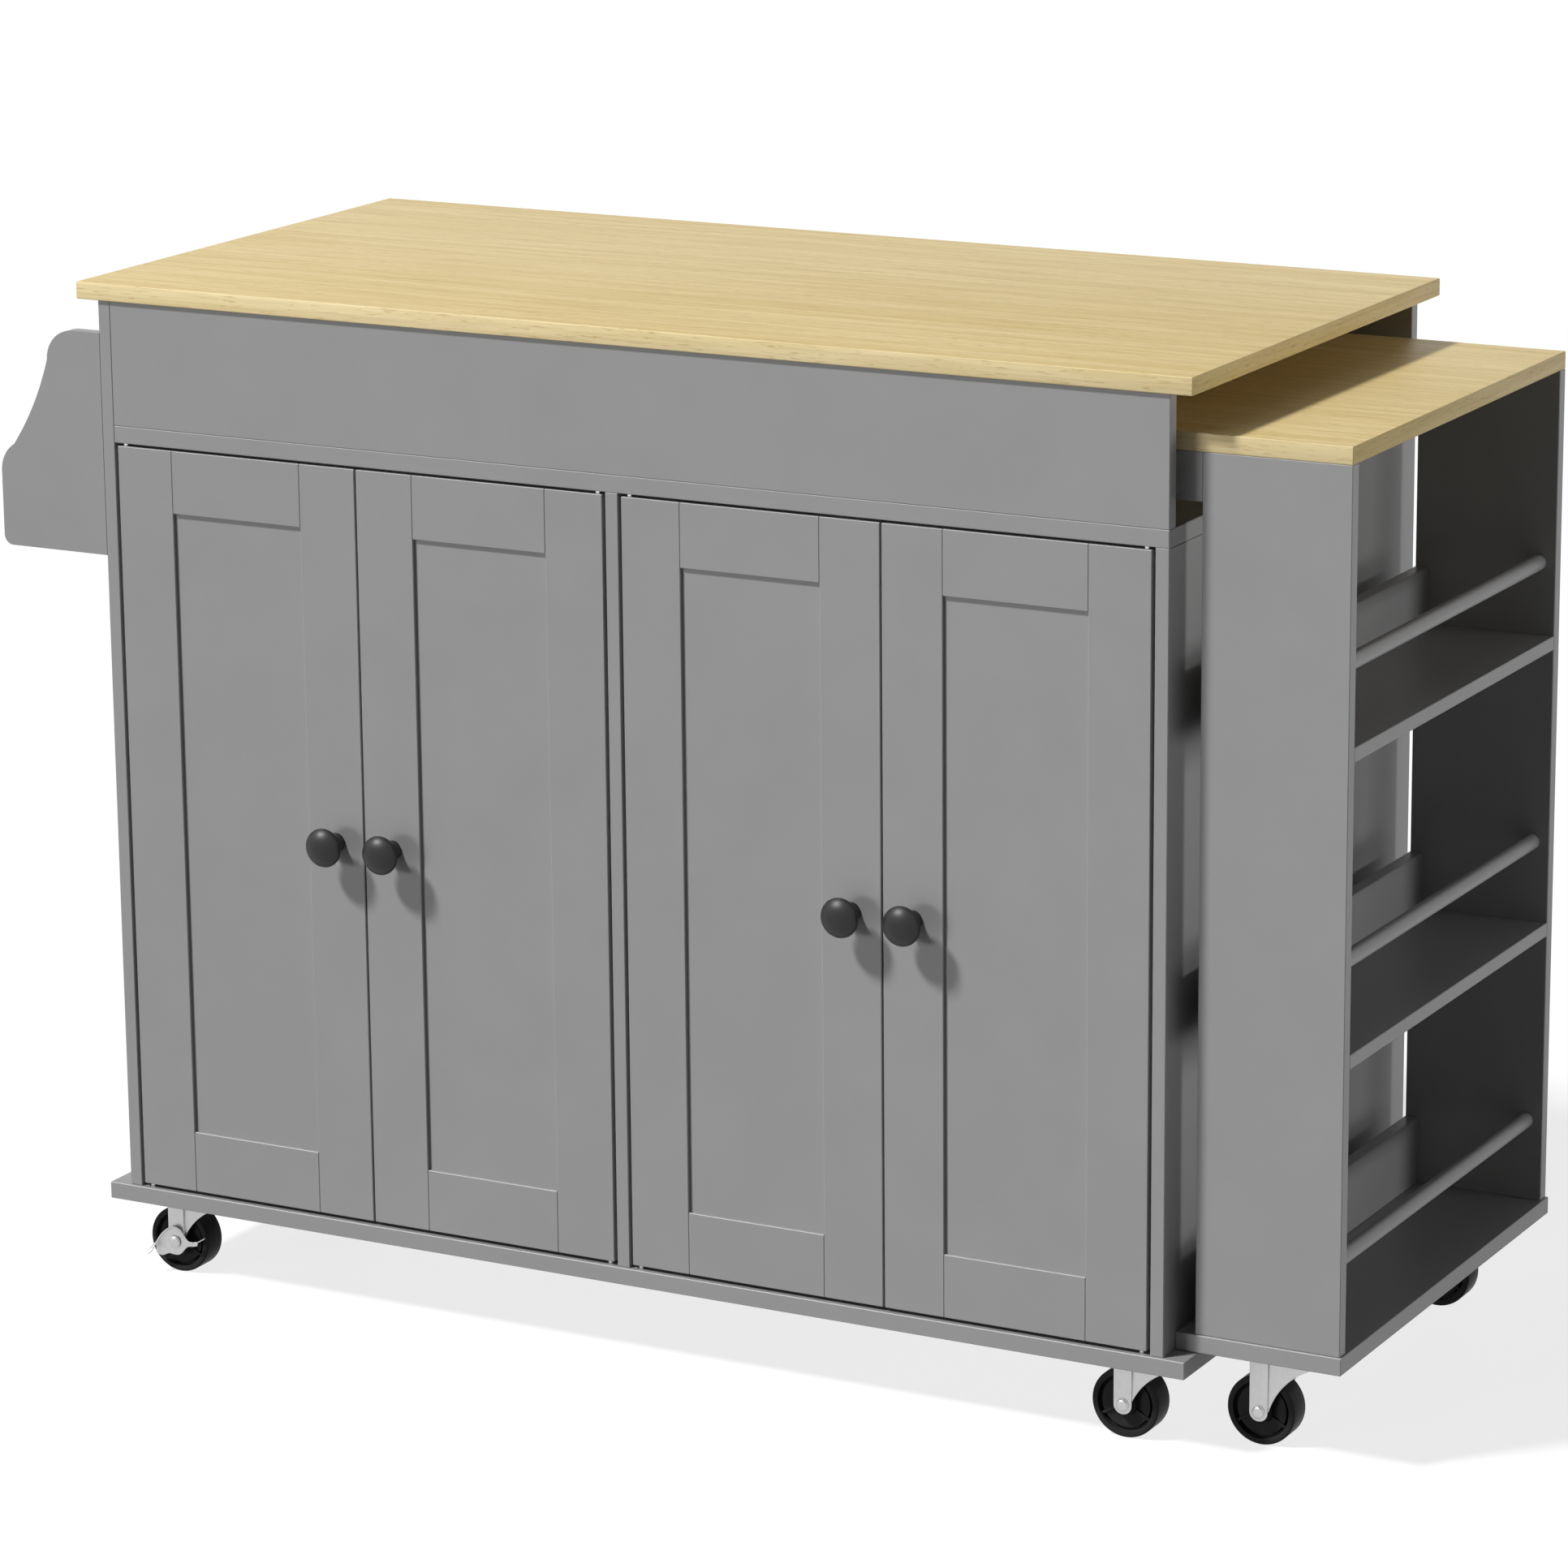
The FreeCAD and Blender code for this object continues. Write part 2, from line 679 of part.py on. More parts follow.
def channel_hollow(x, width, z_low, crown_top):
    """What a bent channel of fork sheet leaves free below its crown."""
    inside = width / 2 - fork_sheet
    hollow = block((x[0] - cut_overrun, x[1] + cut_overrun), (-inside, inside),
                   (z_low, crown_top - fork_sheet))
    return bend_edges(hollow, fork_bend_radius - fork_sheet)


def fork_web(crown_top):
    """Bent channel from the crown down to the legs, with a swept lower edge."""
    leg_edge = axle_x + fork_leg_breadth / 2
    x = (leg_edge - fork_joggle, crown_reach)
    low, far = axle_z - cut_overrun, crown_reach + cut_overrun
    tip = Vector(crown_reach, 0, crown_top - fork_sheet)
    toe = Vector(leg_edge, 0, axle_z)
    chord = toe - tip
    inward = Vector(chord.z, 0, -chord.x)
    bow = (tip + toe) / 2 + inward * fork_sweep_share
    sweep = outline_face([
        arc(tip, bow, toe),
        line(toe, Vector(leg_edge, 0, low)),
        line(Vector(leg_edge, 0, low), Vector(far, 0, low)),
        line(Vector(far, 0, low), Vector(far, 0, tip.z)),
        line(Vector(far, 0, tip.z), tip),
    ])
    sweep.translate(front * fork_web_width)
    outer = bend_edges(block(x, centred(0, fork_web_width), (axle_z, crown_top)), fork_bend_radius)
    hollow = channel_hollow(x, fork_web_width, low, crown_top)
    return cut_all(outer, [hollow, sweep.extrude(back * 2 * fork_web_width)])


def fork_legs(crown_top):
    """Flat outer straps of the fork, rounded at the axle and bent across the crown."""
    x = centred(axle_x, fork_leg_breadth)
    strap = bend_edges(block(x, centred(0, fork_leg_width), (axle_z, crown_top)), fork_bend_radius)
    end = rod(Vector(axle_x, -fork_leg_width / 2, axle_z), back, fork_leg_breadth, fork_leg_width)
    return strap.fuse(end).cut(channel_hollow(x, fork_leg_width, axle_z - fork_leg_breadth, crown_top))


def caster_fork(z, brake):
    """Pressed fork with its axle rivet and king pin; its swivel axis is the Z axis."""
    crown_top = z - plate_thickness - race_height - running_gap
    lever_room = lever_sheet + 2 * running_gap
    grip = fork_leg_width / 2
    axle = rivet(grip + (lever_room if brake < 0 else 0), grip + (lever_room if brake > 0 else 0))
    axle.translate(Vector(axle_x, 0, axle_z))
    pin_foot = Vector(0, 0, crown_top - fork_sheet)
    pin_length = z - running_gap - pin_foot.z
    pin = rod(pin_foot, up, kingpin_diameter, pin_length)
    pin_head = rod(pin_foot, down, kingpin_head_diameter, kingpin_head_height)
    fork = fork_legs(crown_top).fuse(fork_web(crown_top)).removeSplitter()
    axle_hole = rod(Vector(axle_x, -fork_leg_width, axle_z), back, axle_diameter, 2 * fork_leg_width)
    fork = cut_all(fork, [axle_hole, pin])
    return [fork, axle, pin.fuse(pin_head).removeSplitter()]


def caster_wheel():
    """Moulded wheel with a rounded tread, a groove inside the rim, dished faces, a hub and radial ribs."""
    outer, half = wheel_diameter / 2, wheel_width / 2
    rim, web = outer - rim_thickness, wheel_web_thickness / 2
    hub, hub_half = hub_diameter / 2, hub_width / 2
    bore = axle_diameter / 2 + shaft_fit
    shoulder = tread_round * (1 - math.sqrt(2) / 2)

    def at(radius, y):
        return Vector(radius, y, 0)

    def edge(side):
        return arc(at(outer - tread_round, side * half), at(outer - shoulder, side * (half - shoulder)),
                   at(outer, side * (half - tread_round)))

    lip = rim - groove_width
    lower = [at(bore, -hub_half), at(hub, -hub_half), at(hub, -web - dish_lip + dish_fall),
             at(lip, -web - dish_lip), at(lip, -web), at(rim, -web), at(rim, -half),
             at(outer - tread_round, -half)]
    upper = [Vector(p.x, -p.y, 0) for p in lower]
    edges = [line(a, b) for a, b in zip(lower, lower[1:])]
    edges += [edge(-1), line(at(outer, -half + tread_round), at(outer, half - tread_round)), edge(1)]
    edges += [line(a, b) for a, b in zip(upper, upper[1:])]
    edges += [line(upper[0], lower[0])]
    wheel = outline_face(Part.sortEdges(edges)[0]).revolve(Vector(0, 0, 0), back, 360)
    rib_y = (-half + rib_setback, half - rib_setback)
    ribs = []
    for index in range(wheel_rib_count):
        rib = block((hub - shoulder, rim + shoulder), rib_y, centred(0, rib_thickness))
        rib.rotate(Vector(0, 0, 0), back, 90 + 360 / wheel_rib_count * index)
        ribs.append(rib)
    wheel = wheel.fuse(ribs).removeSplitter()
    wheel.translate(Vector(axle_x, 0, axle_z))
    return wheel


def brake_lever(brake):
    """Stamped wing lever on the axle, outside the fork, with a foot tab at its lower end."""
    points = [Vector(axle_x + lever_length * x, 0, axle_z + lever_length * z)
              for x, z in lever_outline_shares]
    curve = Part.BSplineCurve()
    curve.interpolate(Points=points, PeriodicFlag=True)
    face = outline_face([curve.toShape()])
    face.translate(front * (lever_sheet / 2))
    lever = face.extrude(back * lever_sheet)
    tip = points[0]
    tab = block((tip.x, tip.x + lever_tab_width), (-lever_sheet / 2 - lever_tab_length, lever_sheet / 2),
                centred(tip.z, lever_sheet))
    lever = lever.fuse(tab).removeSplitter()
    bore = rod(Vector(axle_x, -lever_sheet, axle_z), back, axle_diameter + 2 * shaft_fit, 2 * lever_sheet)
    lever = lever.cut(bore)
    if brake > 0:
        lever = lever.mirror(Vector(0, 0, 0), back)
    lever.translate(back * (brake * (fork_leg_width / 2 + running_gap + lever_sheet / 2)))
    return lever


def caster_pieces():
    nodes = {
        "caster_plates": [caster_plate(x, y, z) for name, x, y, z, brake in cabinet_casters],
        "cart_caster_plates": [caster_plate(x, y, z) for name, x, y, z, brake in cart_casters],
        "caster_screws": caster_screws(cabinet_casters),
        "cart_caster_screws": caster_screws(cart_casters),
    }
    for name, x, y, z, brake in caster_places:
        pieces = {name + "_fork": caster_fork(z, brake), name + "_wheel": [caster_wheel()]}
        if brake:
            pieces[name + "_brake_lever"] = [brake_lever(brake)]
        for solids in pieces.values():
            for solid in solids:
                solid.translate(Vector(x, y, 0))
        nodes.update(pieces)
    return nodes


def island():
    nodes = cabinet_boards()
    nodes["shelf_pins"] = shelf_pins()
    nodes["door_pivot_pins"] = door_pivot_pins()
    nodes["magnetic_catches"] = magnetic_catches()
    for index in range(len(door_names)):
        nodes.update(door_pieces(index))
    nodes.update(slide_members())
    nodes.update(extension_pieces())
    nodes.update(cart_pieces())
    nodes.update(rack_pieces())
    nodes.update(caster_pieces())
    return nodes


def write_parts(nodes):
    os.makedirs("parts", exist_ok=True)
    for name, solids in nodes.items():
        shape = solids[0] if len(solids) == 1 else Part.makeCompound(solids)
        shape.translate(origin * -1)
        shape.exportStep(os.path.join("parts", name + ".step"))


write_parts(island())
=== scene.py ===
# %% [markdown]
# # A rolling kitchen island
# The construction model already gives every board, pin and wheel its size and place. This lesson dresses
# it: the boards get their finishes, and the pieces that a hand touches or that catch the light, the tops,
# knobs, wheels, forks and brake levers, are modelled again with the softness of the real ones.

# %% Load the frame
import math

import bpy
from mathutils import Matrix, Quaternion, Vector


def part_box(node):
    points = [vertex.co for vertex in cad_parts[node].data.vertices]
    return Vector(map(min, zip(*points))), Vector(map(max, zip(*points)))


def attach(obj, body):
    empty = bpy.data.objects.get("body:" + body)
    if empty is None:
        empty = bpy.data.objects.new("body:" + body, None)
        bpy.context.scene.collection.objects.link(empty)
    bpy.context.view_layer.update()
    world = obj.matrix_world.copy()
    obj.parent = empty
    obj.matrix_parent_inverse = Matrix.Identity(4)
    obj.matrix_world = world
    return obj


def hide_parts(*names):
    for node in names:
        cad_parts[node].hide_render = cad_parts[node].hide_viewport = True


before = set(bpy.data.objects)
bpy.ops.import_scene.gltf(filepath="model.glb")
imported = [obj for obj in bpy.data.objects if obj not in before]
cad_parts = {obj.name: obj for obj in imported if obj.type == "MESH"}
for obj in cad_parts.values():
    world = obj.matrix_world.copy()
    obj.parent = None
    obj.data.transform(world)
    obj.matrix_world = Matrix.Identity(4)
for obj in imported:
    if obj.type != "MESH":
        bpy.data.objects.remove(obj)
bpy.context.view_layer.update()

mm = 0.001

# %% [markdown]
# ## Colours and shader nodes
# Colours are written as they look on a screen, in sRGB hex, and a shader works with linear light, so one
# function turns the one into the other. A second one adds a node, sets it up and links it, which keeps each
# finish readable. A third starts a finish; its patterns lie in the object's own coordinates, so they stay
# with a piece that moves.

# %% Colour and node helpers
def linear(hex_colour):
    """Linear red, green, blue and alpha of an sRGB hex colour."""
    channels = [int(hex_colour[i:i + 2], 16) / 255 for i in (1, 3, 5)]
    return [c / 12.92 if c <= 0.04045 else ((c + 0.055) / 1.055) ** 2.4 for c in channels] + [1]


def add_node(tree, kind, sockets, **settings):
    """A new node: settings are its own switches, sockets are values or outputs of other nodes."""
    node = tree.nodes.new("ShaderNode" + kind)
    for key, value in settings.items():
        setattr(node, key, value)
    for key, value in sockets.items():
        if isinstance(value, bpy.types.NodeSocket):
            tree.links.new(value, node.inputs[key])
        else:
            node.inputs[key].default_value = value
    return node


def new_finish(name, **sockets):
    """A material with its surface shader, the constant values set on the shader's own sockets."""
    finish = bpy.data.materials.new(name)
    finish.use_nodes = True
    tree = finish.node_tree
    shader = tree.nodes["Principled BSDF"]
    for key, value in sockets.items():
        shader.inputs[key.replace("_", " ")].default_value = value
    place = add_node(tree, "TexCoord", {}).outputs["Object"]
    return finish, tree, shader, place


print("mid grey in linear light", round(linear("#949494")[0], 3))

# %% [markdown]
# ## Uneven tint and gloss
# Sprayed film, plating and moulded skin all vary in patches, and where the tint changes the gloss changes
# with it. Two patterns could do that, but one noise that drives both the colour and the roughness keeps
# them in step. The size of a patch is given in millimetres.

# %% Mottle
def mottle(tree, shader, place, patch, detail, tints, roughness):
    """Vary tint and roughness together over patches of one size; gives back the pattern."""
    noise = add_node(tree, "TexNoise", {"Vector": place, "Scale": 1 / (patch * mm), "Detail": detail})
    pattern = noise.outputs["Fac"]
    first_tint, second_tint = (linear(tint) for tint in tints)
    tone = add_node(tree, "MixRGB", {"Fac": pattern, "Color1": first_tint, "Color2": second_tint})
    smooth, rough = roughness
    gloss = add_node(tree, "MapRange", {"Value": pattern, "To Min": smooth, "To Max": rough})
    tree.links.new(tone.outputs["Color"], shader.inputs["Base Color"])
    tree.links.new(gloss.outputs["Result"], shader.inputs["Roughness"])
    return pattern


print("materials so far", len(bpy.data.materials))

# %% [markdown]
# ## Grey lacquered board
# The carcass, doors and cart are fibreboard with a sprayed satin lacquer. Spraying leaves a faint orange
# peel about two millimetres across, which breaks up reflections, and the film is never quite even. The
# ripple could be modelled, but it is too fine to see as a shape, so it only goes into the bump.

# %% Lacquer
lacquer, tree, shader, place = new_finish("grey_lacquered_fibreboard", IOR=1.5)
mottle(tree, shader, place, patch=70, detail=3, tints=("#8f8f8f", "#979797"), roughness=(0.38, 0.5))
peel_width, peel_depth = 2 * mm, 0.1 * mm
peel = add_node(tree, "TexNoise", {"Vector": place, "Scale": 1 / peel_width, "Detail": 2})
ripple = add_node(tree, "Bump", {"Height": peel.outputs["Fac"], "Strength": 0.12, "Distance": peel_depth})
tree.links.new(ripple.outputs["Normal"], shader.inputs["Normal"])
print("finish", lacquer.name)

# %% [markdown]
# ## Oak laminate
# The two tops are chipboard under a printed oak film. To the eye oak is a pale straw colour with soft bands
# a finger wide, fine lines along the grain, and short dark pores. They could be one drawing, but each has
# its own scale, so all three are a noise stretched by different amounts: long along the grain, narrow
# across it. Real pores are a third of a millimetre wide; here they are drawn more than a millimetre wide so
# that they still show at the size of the picture. The ends get the same film with the grain running the
# other way.

# %% Oak
# A layer has the length and width of its fibres in millimetres, the detail and the waviness of its noise,
# the part of the noise's range that shows, and how strongly it stains the wood.
oak_layers = {
    "bands": (380, 15, 4, 0.6, 0.3, 0.72, 1),
    "lines": (110, 3.4, 5, 0.3, 0.45, 0.8, 0.4),
    "pores": (13, 1.4, 2, 0, 0.58, 0.74, 0.6),
}
pore_depth = 0.05 * mm


def oak_film(name, grain, pale, deep, pore):
    """Oak film; grain is 0 where the fibres run along X and 1 where they run along Y."""
    finish, tree, shader, place = new_finish(name, IOR=1.5, Specular_IOR_Level=0.25)
    wood = linear(pale)
    stains = {"bands": linear(deep), "lines": linear(pore), "pores": linear(pore)}
    fibre, amount = {}, {}
    for layer, (length, width, detail, waviness, start, end, strength) in oak_layers.items():
        scale = [1 / (width * mm)] * 3
        scale[grain] = 1 / (length * mm)
        drawn = add_node(tree, "Mapping", {"Vector": place, "Scale": scale}).outputs["Vector"]
        noise = {"Vector": drawn, "Scale": 1, "Detail": detail, "Distortion": waviness}
        fibre[layer] = add_node(tree, "TexNoise", noise).outputs["Fac"]
        contrast = {"Value": fibre[layer], "From Min": start, "From Max": end, "To Max": strength}
        amount[layer] = add_node(tree, "MapRange", contrast).outputs["Result"]
        stained = {"Fac": amount[layer], "Color1": wood, "Color2": stains[layer]}
        wood = add_node(tree, "MixRGB", stained).outputs["Color"]
    gloss = add_node(tree, "MapRange", {"Value": fibre["lines"], "To Min": 0.4, "To Max": 0.56})
    relief = {"Height": amount["pores"], "Strength": 0.15, "Distance": pore_depth}
    dents = add_node(tree, "Bump", relief, invert=True)
    tree.links.new(wood, shader.inputs["Base Color"])
    tree.links.new(gloss.outputs["Result"], shader.inputs["Roughness"])
    tree.links.new(dents.outputs["Normal"], shader.inputs["Normal"])
    return finish


oak_top = oak_film("oak_laminate", 0, "#e2cd97", "#d3ba7b", "#aa8a53")
# The front and back band is paler than the top: partly the band's own tone, partly a painted highlight on
# the rounded arris that wears it.
oak_front_band_with_painted_highlight = oak_film("oak_edge_band_with_painted_highlight", 0, "#eddbae", "#e2ce9a", "#b99c68")
oak_end_band = oak_film("oak_end_band", 1, "#ddc891", "#d1ba80", "#a98c58")
print("finishes", oak_top.name, oak_front_band_with_painted_highlight.name, oak_end_band.name)

# %% [markdown]
# ## Zinc-plated steel
# Forks, levers, plates and drawer slides are pressed from sheet and plated with bright zinc. A flat grey
# metal would look like a painted one. Plating follows the rolled sheet, so its reflection is soft and a
# little cloudy, in patches of a few millimetres.

# %% Zinc
zinc, tree, shader, place = new_finish("zinc_plated_steel", Metallic=1)
mottle(tree, shader, place, patch=5, detail=4, tints=("#b5b6b7", "#cbcbc9"), roughness=(0.3, 0.5))
print("finish", zinc.name)

# %% [markdown]
# ## Black polypropylene and black knob paint
# The wheels are moulded polypropylene, whose mould was spark-eroded: a fine even grit that scatters most of
# the gloss, so its specular level is low. Real grains are half a millimetre or less, and they are drawn a
# little coarser so that they show. The knobs are turned wood under a satin black paint, which is smoother
# and glossier. One black could serve both, but then the wheels would shine like the knobs.

# %% Blacks
wheel_black, tree, shader, place = new_finish("moulded_polypropylene", IOR=1.49, Specular_IOR_Level=0.04)
grit = mottle(tree, shader, place, patch=0.8, detail=2, tints=("#2a2a2b", "#333333"), roughness=(0.3, 0.44))
grit_depth = 0.05 * mm
relief = add_node(tree, "Bump", {"Height": grit, "Strength": 0.2, "Distance": grit_depth})
tree.links.new(relief.outputs["Normal"], shader.inputs["Normal"])

knob_black, tree, shader, place = new_finish("satin_black_paint", IOR=1.5, Specular_IOR_Level=0.45)
mottle(tree, shader, place, patch=3, detail=2, tints=("#121212", "#191919"), roughness=(0.4, 0.48))
print("finishes", wheel_black.name, knob_black.name)

# %% [markdown]
# ## Pins and catches
# The door pivots and shelf pins are bright nickel-plated steel, warmer and smoother than zinc. The magnetic
# catches have a housing of white nylon. Nylon lets a little light in, which could be traced through it; on
# pieces this small an uneven white gives the eye the same.

# %% Nickel and nylon
nickel, tree, shader, place = new_finish("nickel_plated_steel", Metallic=1)
mottle(tree, shader, place, patch=1.5, detail=2, tints=("#d6d4cf", "#eae8e3"), roughness=(0.18, 0.3))

nylon, tree, shader, place = new_finish("white_nylon", IOR=1.53)
mottle(tree, shader, place, patch=4, detail=2, tints=("#dcdad4", "#ecebe6"), roughness=(0.35, 0.5))
print("finishes", nickel.name, nylon.name)

# %% [markdown]
# ## Dress the boards and fittings
# Each node of the construction model has a slot named after its finish. Every board could be modelled anew,
# but swapping the material in that slot keeps the mesh untouched, which is right for everything that is
# flat or already smooth.

# %% Finishes into slots
finishes = {
    "oak_laminate": oak_top,
    "grey_lacquered_board": lacquer,
    "black_knob": knob_black,
    "wheel_plastic": wheel_black,
    "caster_steel": zinc,
    "slide_steel": zinc,
    "pin_steel": nickel,
    "catch_plastic": nylon,
}
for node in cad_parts.values():
    for holder in node.material_slots:
        holder.material = finishes[holder.material.name.split(".")[0]]
print("dressed", len(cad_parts), "nodes in", len(finishes), "finishes")

# %% [markdown]
# ## The two tops
# A laminate top is film on its faces and a strip of edge band on its sides, with the sharp corner trimmed
# round. The construction model's box would do, but light breaks on it as on a razor's edge, so a new box of
# the same size is bevelled all round. The faces that look sideways are given the band's finish: front and
# back along the grain, the ends across it. The front and back band is paler than the top, and the steeper
# faces of the rounded arris take it too, so its pale colour is partly the band's own tone and partly a
# painted highlight along that edge. Operators act on whatever is selected, so every piece starts by
# deselecting all. A finished piece has its place in its mesh and rides on a body of the construction model,
# so that it moves with it.

# %% Start, soften and settle a piece
def start_piece():
    """Leave nothing selected, so that the next operators act on the new piece alone."""
    bpy.ops.object.select_all(action="DESELECT")


def soften(width, segments, angle):
    """Round the edges sharper than an angle with a Bevel modifier, then shade smoothly."""
    piece = bpy.context.object
    bevel = piece.modifiers.new("soft edges", "BEVEL")
    bevel.width, bevel.segments = width, segments
    bevel.limit_method, bevel.angle_limit = "ANGLE", math.radians(angle)
    bpy.ops.object.modifier_apply(modifier=bevel.name)
    bpy.ops.object.shade_smooth_by_angle(angle=math.radians(angle))


def settle(piece, name, body, finish_slot, *materials):
    """Name a finished piece, give it its finishes and let it ride on its body."""
    piece.name = piece.data.name = name
    piece.data.materials.clear()
    for material in materials:
        piece.data.materials.append(material)
    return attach(piece, body)


# %% Worktop and pull-out top
board_round = 0.9 * mm
for node_name, body in (("worktop", "cabinet"), ("extension_top", "cart")):
    low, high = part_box(node_name)
    start_piece()
    bpy.ops.mesh.primitive_cube_add(size=1, location=(low + high) / 2, scale=high - low)
    bpy.ops.object.transform_apply()
    soften(board_round, segments=3, angle=30)
    top = settle(bpy.context.object, node_name + "_board", body, "oak_laminate",
                 oak_top, oak_front_band_with_painted_highlight, oak_end_band)
    # Sideways faces, the steeper faces of the rounded arris included, get the bands; on the front and back
    # the pale band is partly a painted highlight.
    for face in top.data.polygons:
        sideways = Vector((face.normal.x, face.normal.y, 0)).length
        if sideways > 0.3:
            face.material_index = 2 if abs(face.normal.x) > abs(face.normal.y) else 1
    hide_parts(node_name)
    print(top.name, "faces", len(top.data.polygons))

# %% [markdown]
# ## A turned knob
# The knob is a lathe shape: a flat foot, a waist for the fingertips and a wide shallow dome. It could be
# spun from an outline; growing it from a disc by extruding and scaling ring after ring does the same and
# keeps the rings in order, like the passes of a chisel. Faces are picked by where they are or where they
# point, as one would by clicking them. Each ring is a radius and a distance from the door in millimetres.

# %% Pick faces, grow rings and close up
def pick_faces(test):
    """In edit mode, select the faces whose centre and normal pass the test."""
    bpy.ops.object.mode_set(mode="EDIT")
    bpy.ops.mesh.select_mode(type="FACE")
    bpy.ops.mesh.select_all(action="DESELECT")
    bpy.ops.object.mode_set(mode="OBJECT")
    for face in bpy.context.object.data.polygons:
        face.select = test(face.center, face.normal)
    bpy.ops.object.mode_set(mode="EDIT")


def grow_rings(centre, towards, radius, rings):
    """Extrude the selected disc along Y ring after ring; a ring is a radius and a reach."""
    reach = 0
    for next_radius, next_reach in rings:
        step = (0, towards * (next_reach - reach) * mm, 0)
        bpy.ops.mesh.extrude_region_move(TRANSFORM_OT_translate={"value": step})
        ratio = next_radius / radius
        middle = (centre[0], centre[1] + towards * next_reach * mm, centre[2])
        bpy.ops.transform.resize(value=(ratio, 1, ratio), center_override=middle)
        radius, reach = next_radius, next_reach


def close_up():
    """Merge doubles, turn all faces outwards and leave edit mode."""
    bpy.ops.object.mode_set(mode="EDIT")
    bpy.ops.mesh.select_all(action="SELECT")
    bpy.ops.mesh.remove_doubles(threshold=0.001 * mm)
    bpy.ops.mesh.normals_make_consistent(inside=False)
    bpy.ops.object.mode_set(mode="OBJECT")


print("last piece", bpy.context.object.name, bpy.context.object.mode)

# %% Knob
along_y = (math.pi / 2, 0, 0)
knob_foot, knob_crest = 8.5, 0.05
knob_rings = (
    (8.5, 1.7), (8.3, 2.2), (7.4, 3.9), (6.8, 6), (6.5, 8.4), (6.7, 10.8), (7.6, 13.2), (9.3, 15.2),
    (12, 16.9), (14.6, 18.1), (16, 18.9), (16.8, 19.8), (17, 20.9), (16.85, 22), (16.3, 23.2), (15.2, 24.5),
    (13.6, 26), (11.3, 27.6), (8.4, 28.9), (5.3, 29.65), (2.4, 29.93),
)
start_piece()
bpy.ops.mesh.primitive_circle_add(vertices=64, radius=knob_foot * mm, fill_type="NGON", rotation=along_y)
bpy.ops.object.transform_apply()
pick_faces(lambda centre, normal: True)
grow_rings((0, 0, 0), -1, knob_foot, knob_rings)
bpy.ops.mesh.poke(offset=knob_crest * mm)
close_up()
bpy.ops.object.shade_smooth_by_angle(angle=math.radians(40))
knob_pattern = bpy.context.object
print("knob faces", len(knob_pattern.data.polygons))

# %% [markdown]
# ## Strike plates and knob screws
# Inside each door a thin steel plate meets the magnetic catch, and the button head of a screw holds the
# knob. The plate is a flat box with soft edges. The head could be grown in rings like the knob; it is so
# low that a disc with its front edge bevelled is enough, with a small round drive recess made by an inset
# with a depth.

# %% Strike plate and screw head
strike_length, strike_thickness, strike_height, strike_round = 40 * mm, 1.5 * mm, 11 * mm, 0.4 * mm
start_piece()
bpy.ops.mesh.primitive_cube_add(size=1, scale=(strike_length, strike_thickness, strike_height))
bpy.ops.object.transform_apply()
soften(strike_round, segments=3, angle=30)
strike_pattern = bpy.context.object

head_radius, head_height, head_round = 4 * mm, 2.2 * mm, 1.4 * mm
drive_rim, drive_taper, drive_depth = 1.2 * mm, 0.1 * mm, 0.9 * mm
start_piece()
bpy.ops.mesh.primitive_cylinder_add(vertices=32, radius=head_radius, depth=head_height, rotation=along_y)
bpy.ops.object.transform_apply()
screw_pattern = bpy.context.object
pick_faces(lambda centre, normal: normal.y > 0.9)
bpy.ops.mesh.bevel(offset=head_round, segments=4, affect="EDGES")
pick_faces(lambda centre, normal: normal.y > 0.99)
bpy.ops.mesh.inset(thickness=drive_rim, depth=0)
bpy.ops.mesh.inset(thickness=drive_taper, depth=-drive_depth)
close_up()
bpy.ops.object.shade_smooth_by_angle(angle=math.radians(40))
print("strike faces", len(strike_pattern.data.polygons), "screw faces", len(screw_pattern.data.polygons))

# %% [markdown]
# ## A caster wheel
# The wheel is one moulding: a rounded tread, a rim, a deep groove inside the rim, and a dished face that
# runs in to the hub. It could be spun from an outline too. A cylinder already has the tread, and insetting
# its two end faces again and again, each time with a depth, sinks the groove and raises the hub on both
# sides at once. The axle hole is a bridge between the two last faces.

# %% Wheel body
wheel_radius, wheel_width, tread_round, ring_round = 30 * mm, 24 * mm, 1.8 * mm, 0.35 * mm
start_piece()
bpy.ops.mesh.primitive_cylinder_add(vertices=72, radius=wheel_radius, depth=wheel_width, rotation=along_y)
bpy.ops.object.transform_apply()
wheel_pattern = bpy.context.object
pick_faces(lambda centre, normal: abs(normal.y) > 0.9)
bpy.ops.mesh.bevel(offset=tread_round, segments=4, affect="EDGES")
pick_faces(lambda centre, normal: abs(normal.y) > 0.99 and centre.xz.length < mm)
# A step is the width of the next ring and how far it stands out, both in millimetres.
face_steps = (
    (3.4, 0), (0.3, -6), (2.4, 0), (0.3, 3.4), (4, -0.6), (4, -0.5), (3.4, -0.3), (0.3, 4.7), (5.9, 0),
)
for width, depth in face_steps:
    bpy.ops.mesh.inset(thickness=width * mm, depth=depth * mm, use_individual=True)
bpy.ops.mesh.bridge_edge_loops()
close_up()
soften(ring_round, segments=2, angle=40)
print("wheel faces", len(wheel_pattern.data.polygons))

# %% [markdown]
# ## Ribs of the wheel
# Three thin ribs stiffen the dished face. They could be pulled out of the face itself, but its rings don't
# follow their outline, so each is a slim box from hub to rim that goes right through the wheel. Joined to
# it, the ribs move with it as one moulding.

# %% Wheel ribs
def join_to(piece, *others):
    """Make other pieces part of one piece."""
    start_piece()
    for other in others:
        other.select_set(True)
    piece.select_set(True)
    bpy.context.view_layer.objects.active = piece
    bpy.ops.object.join()


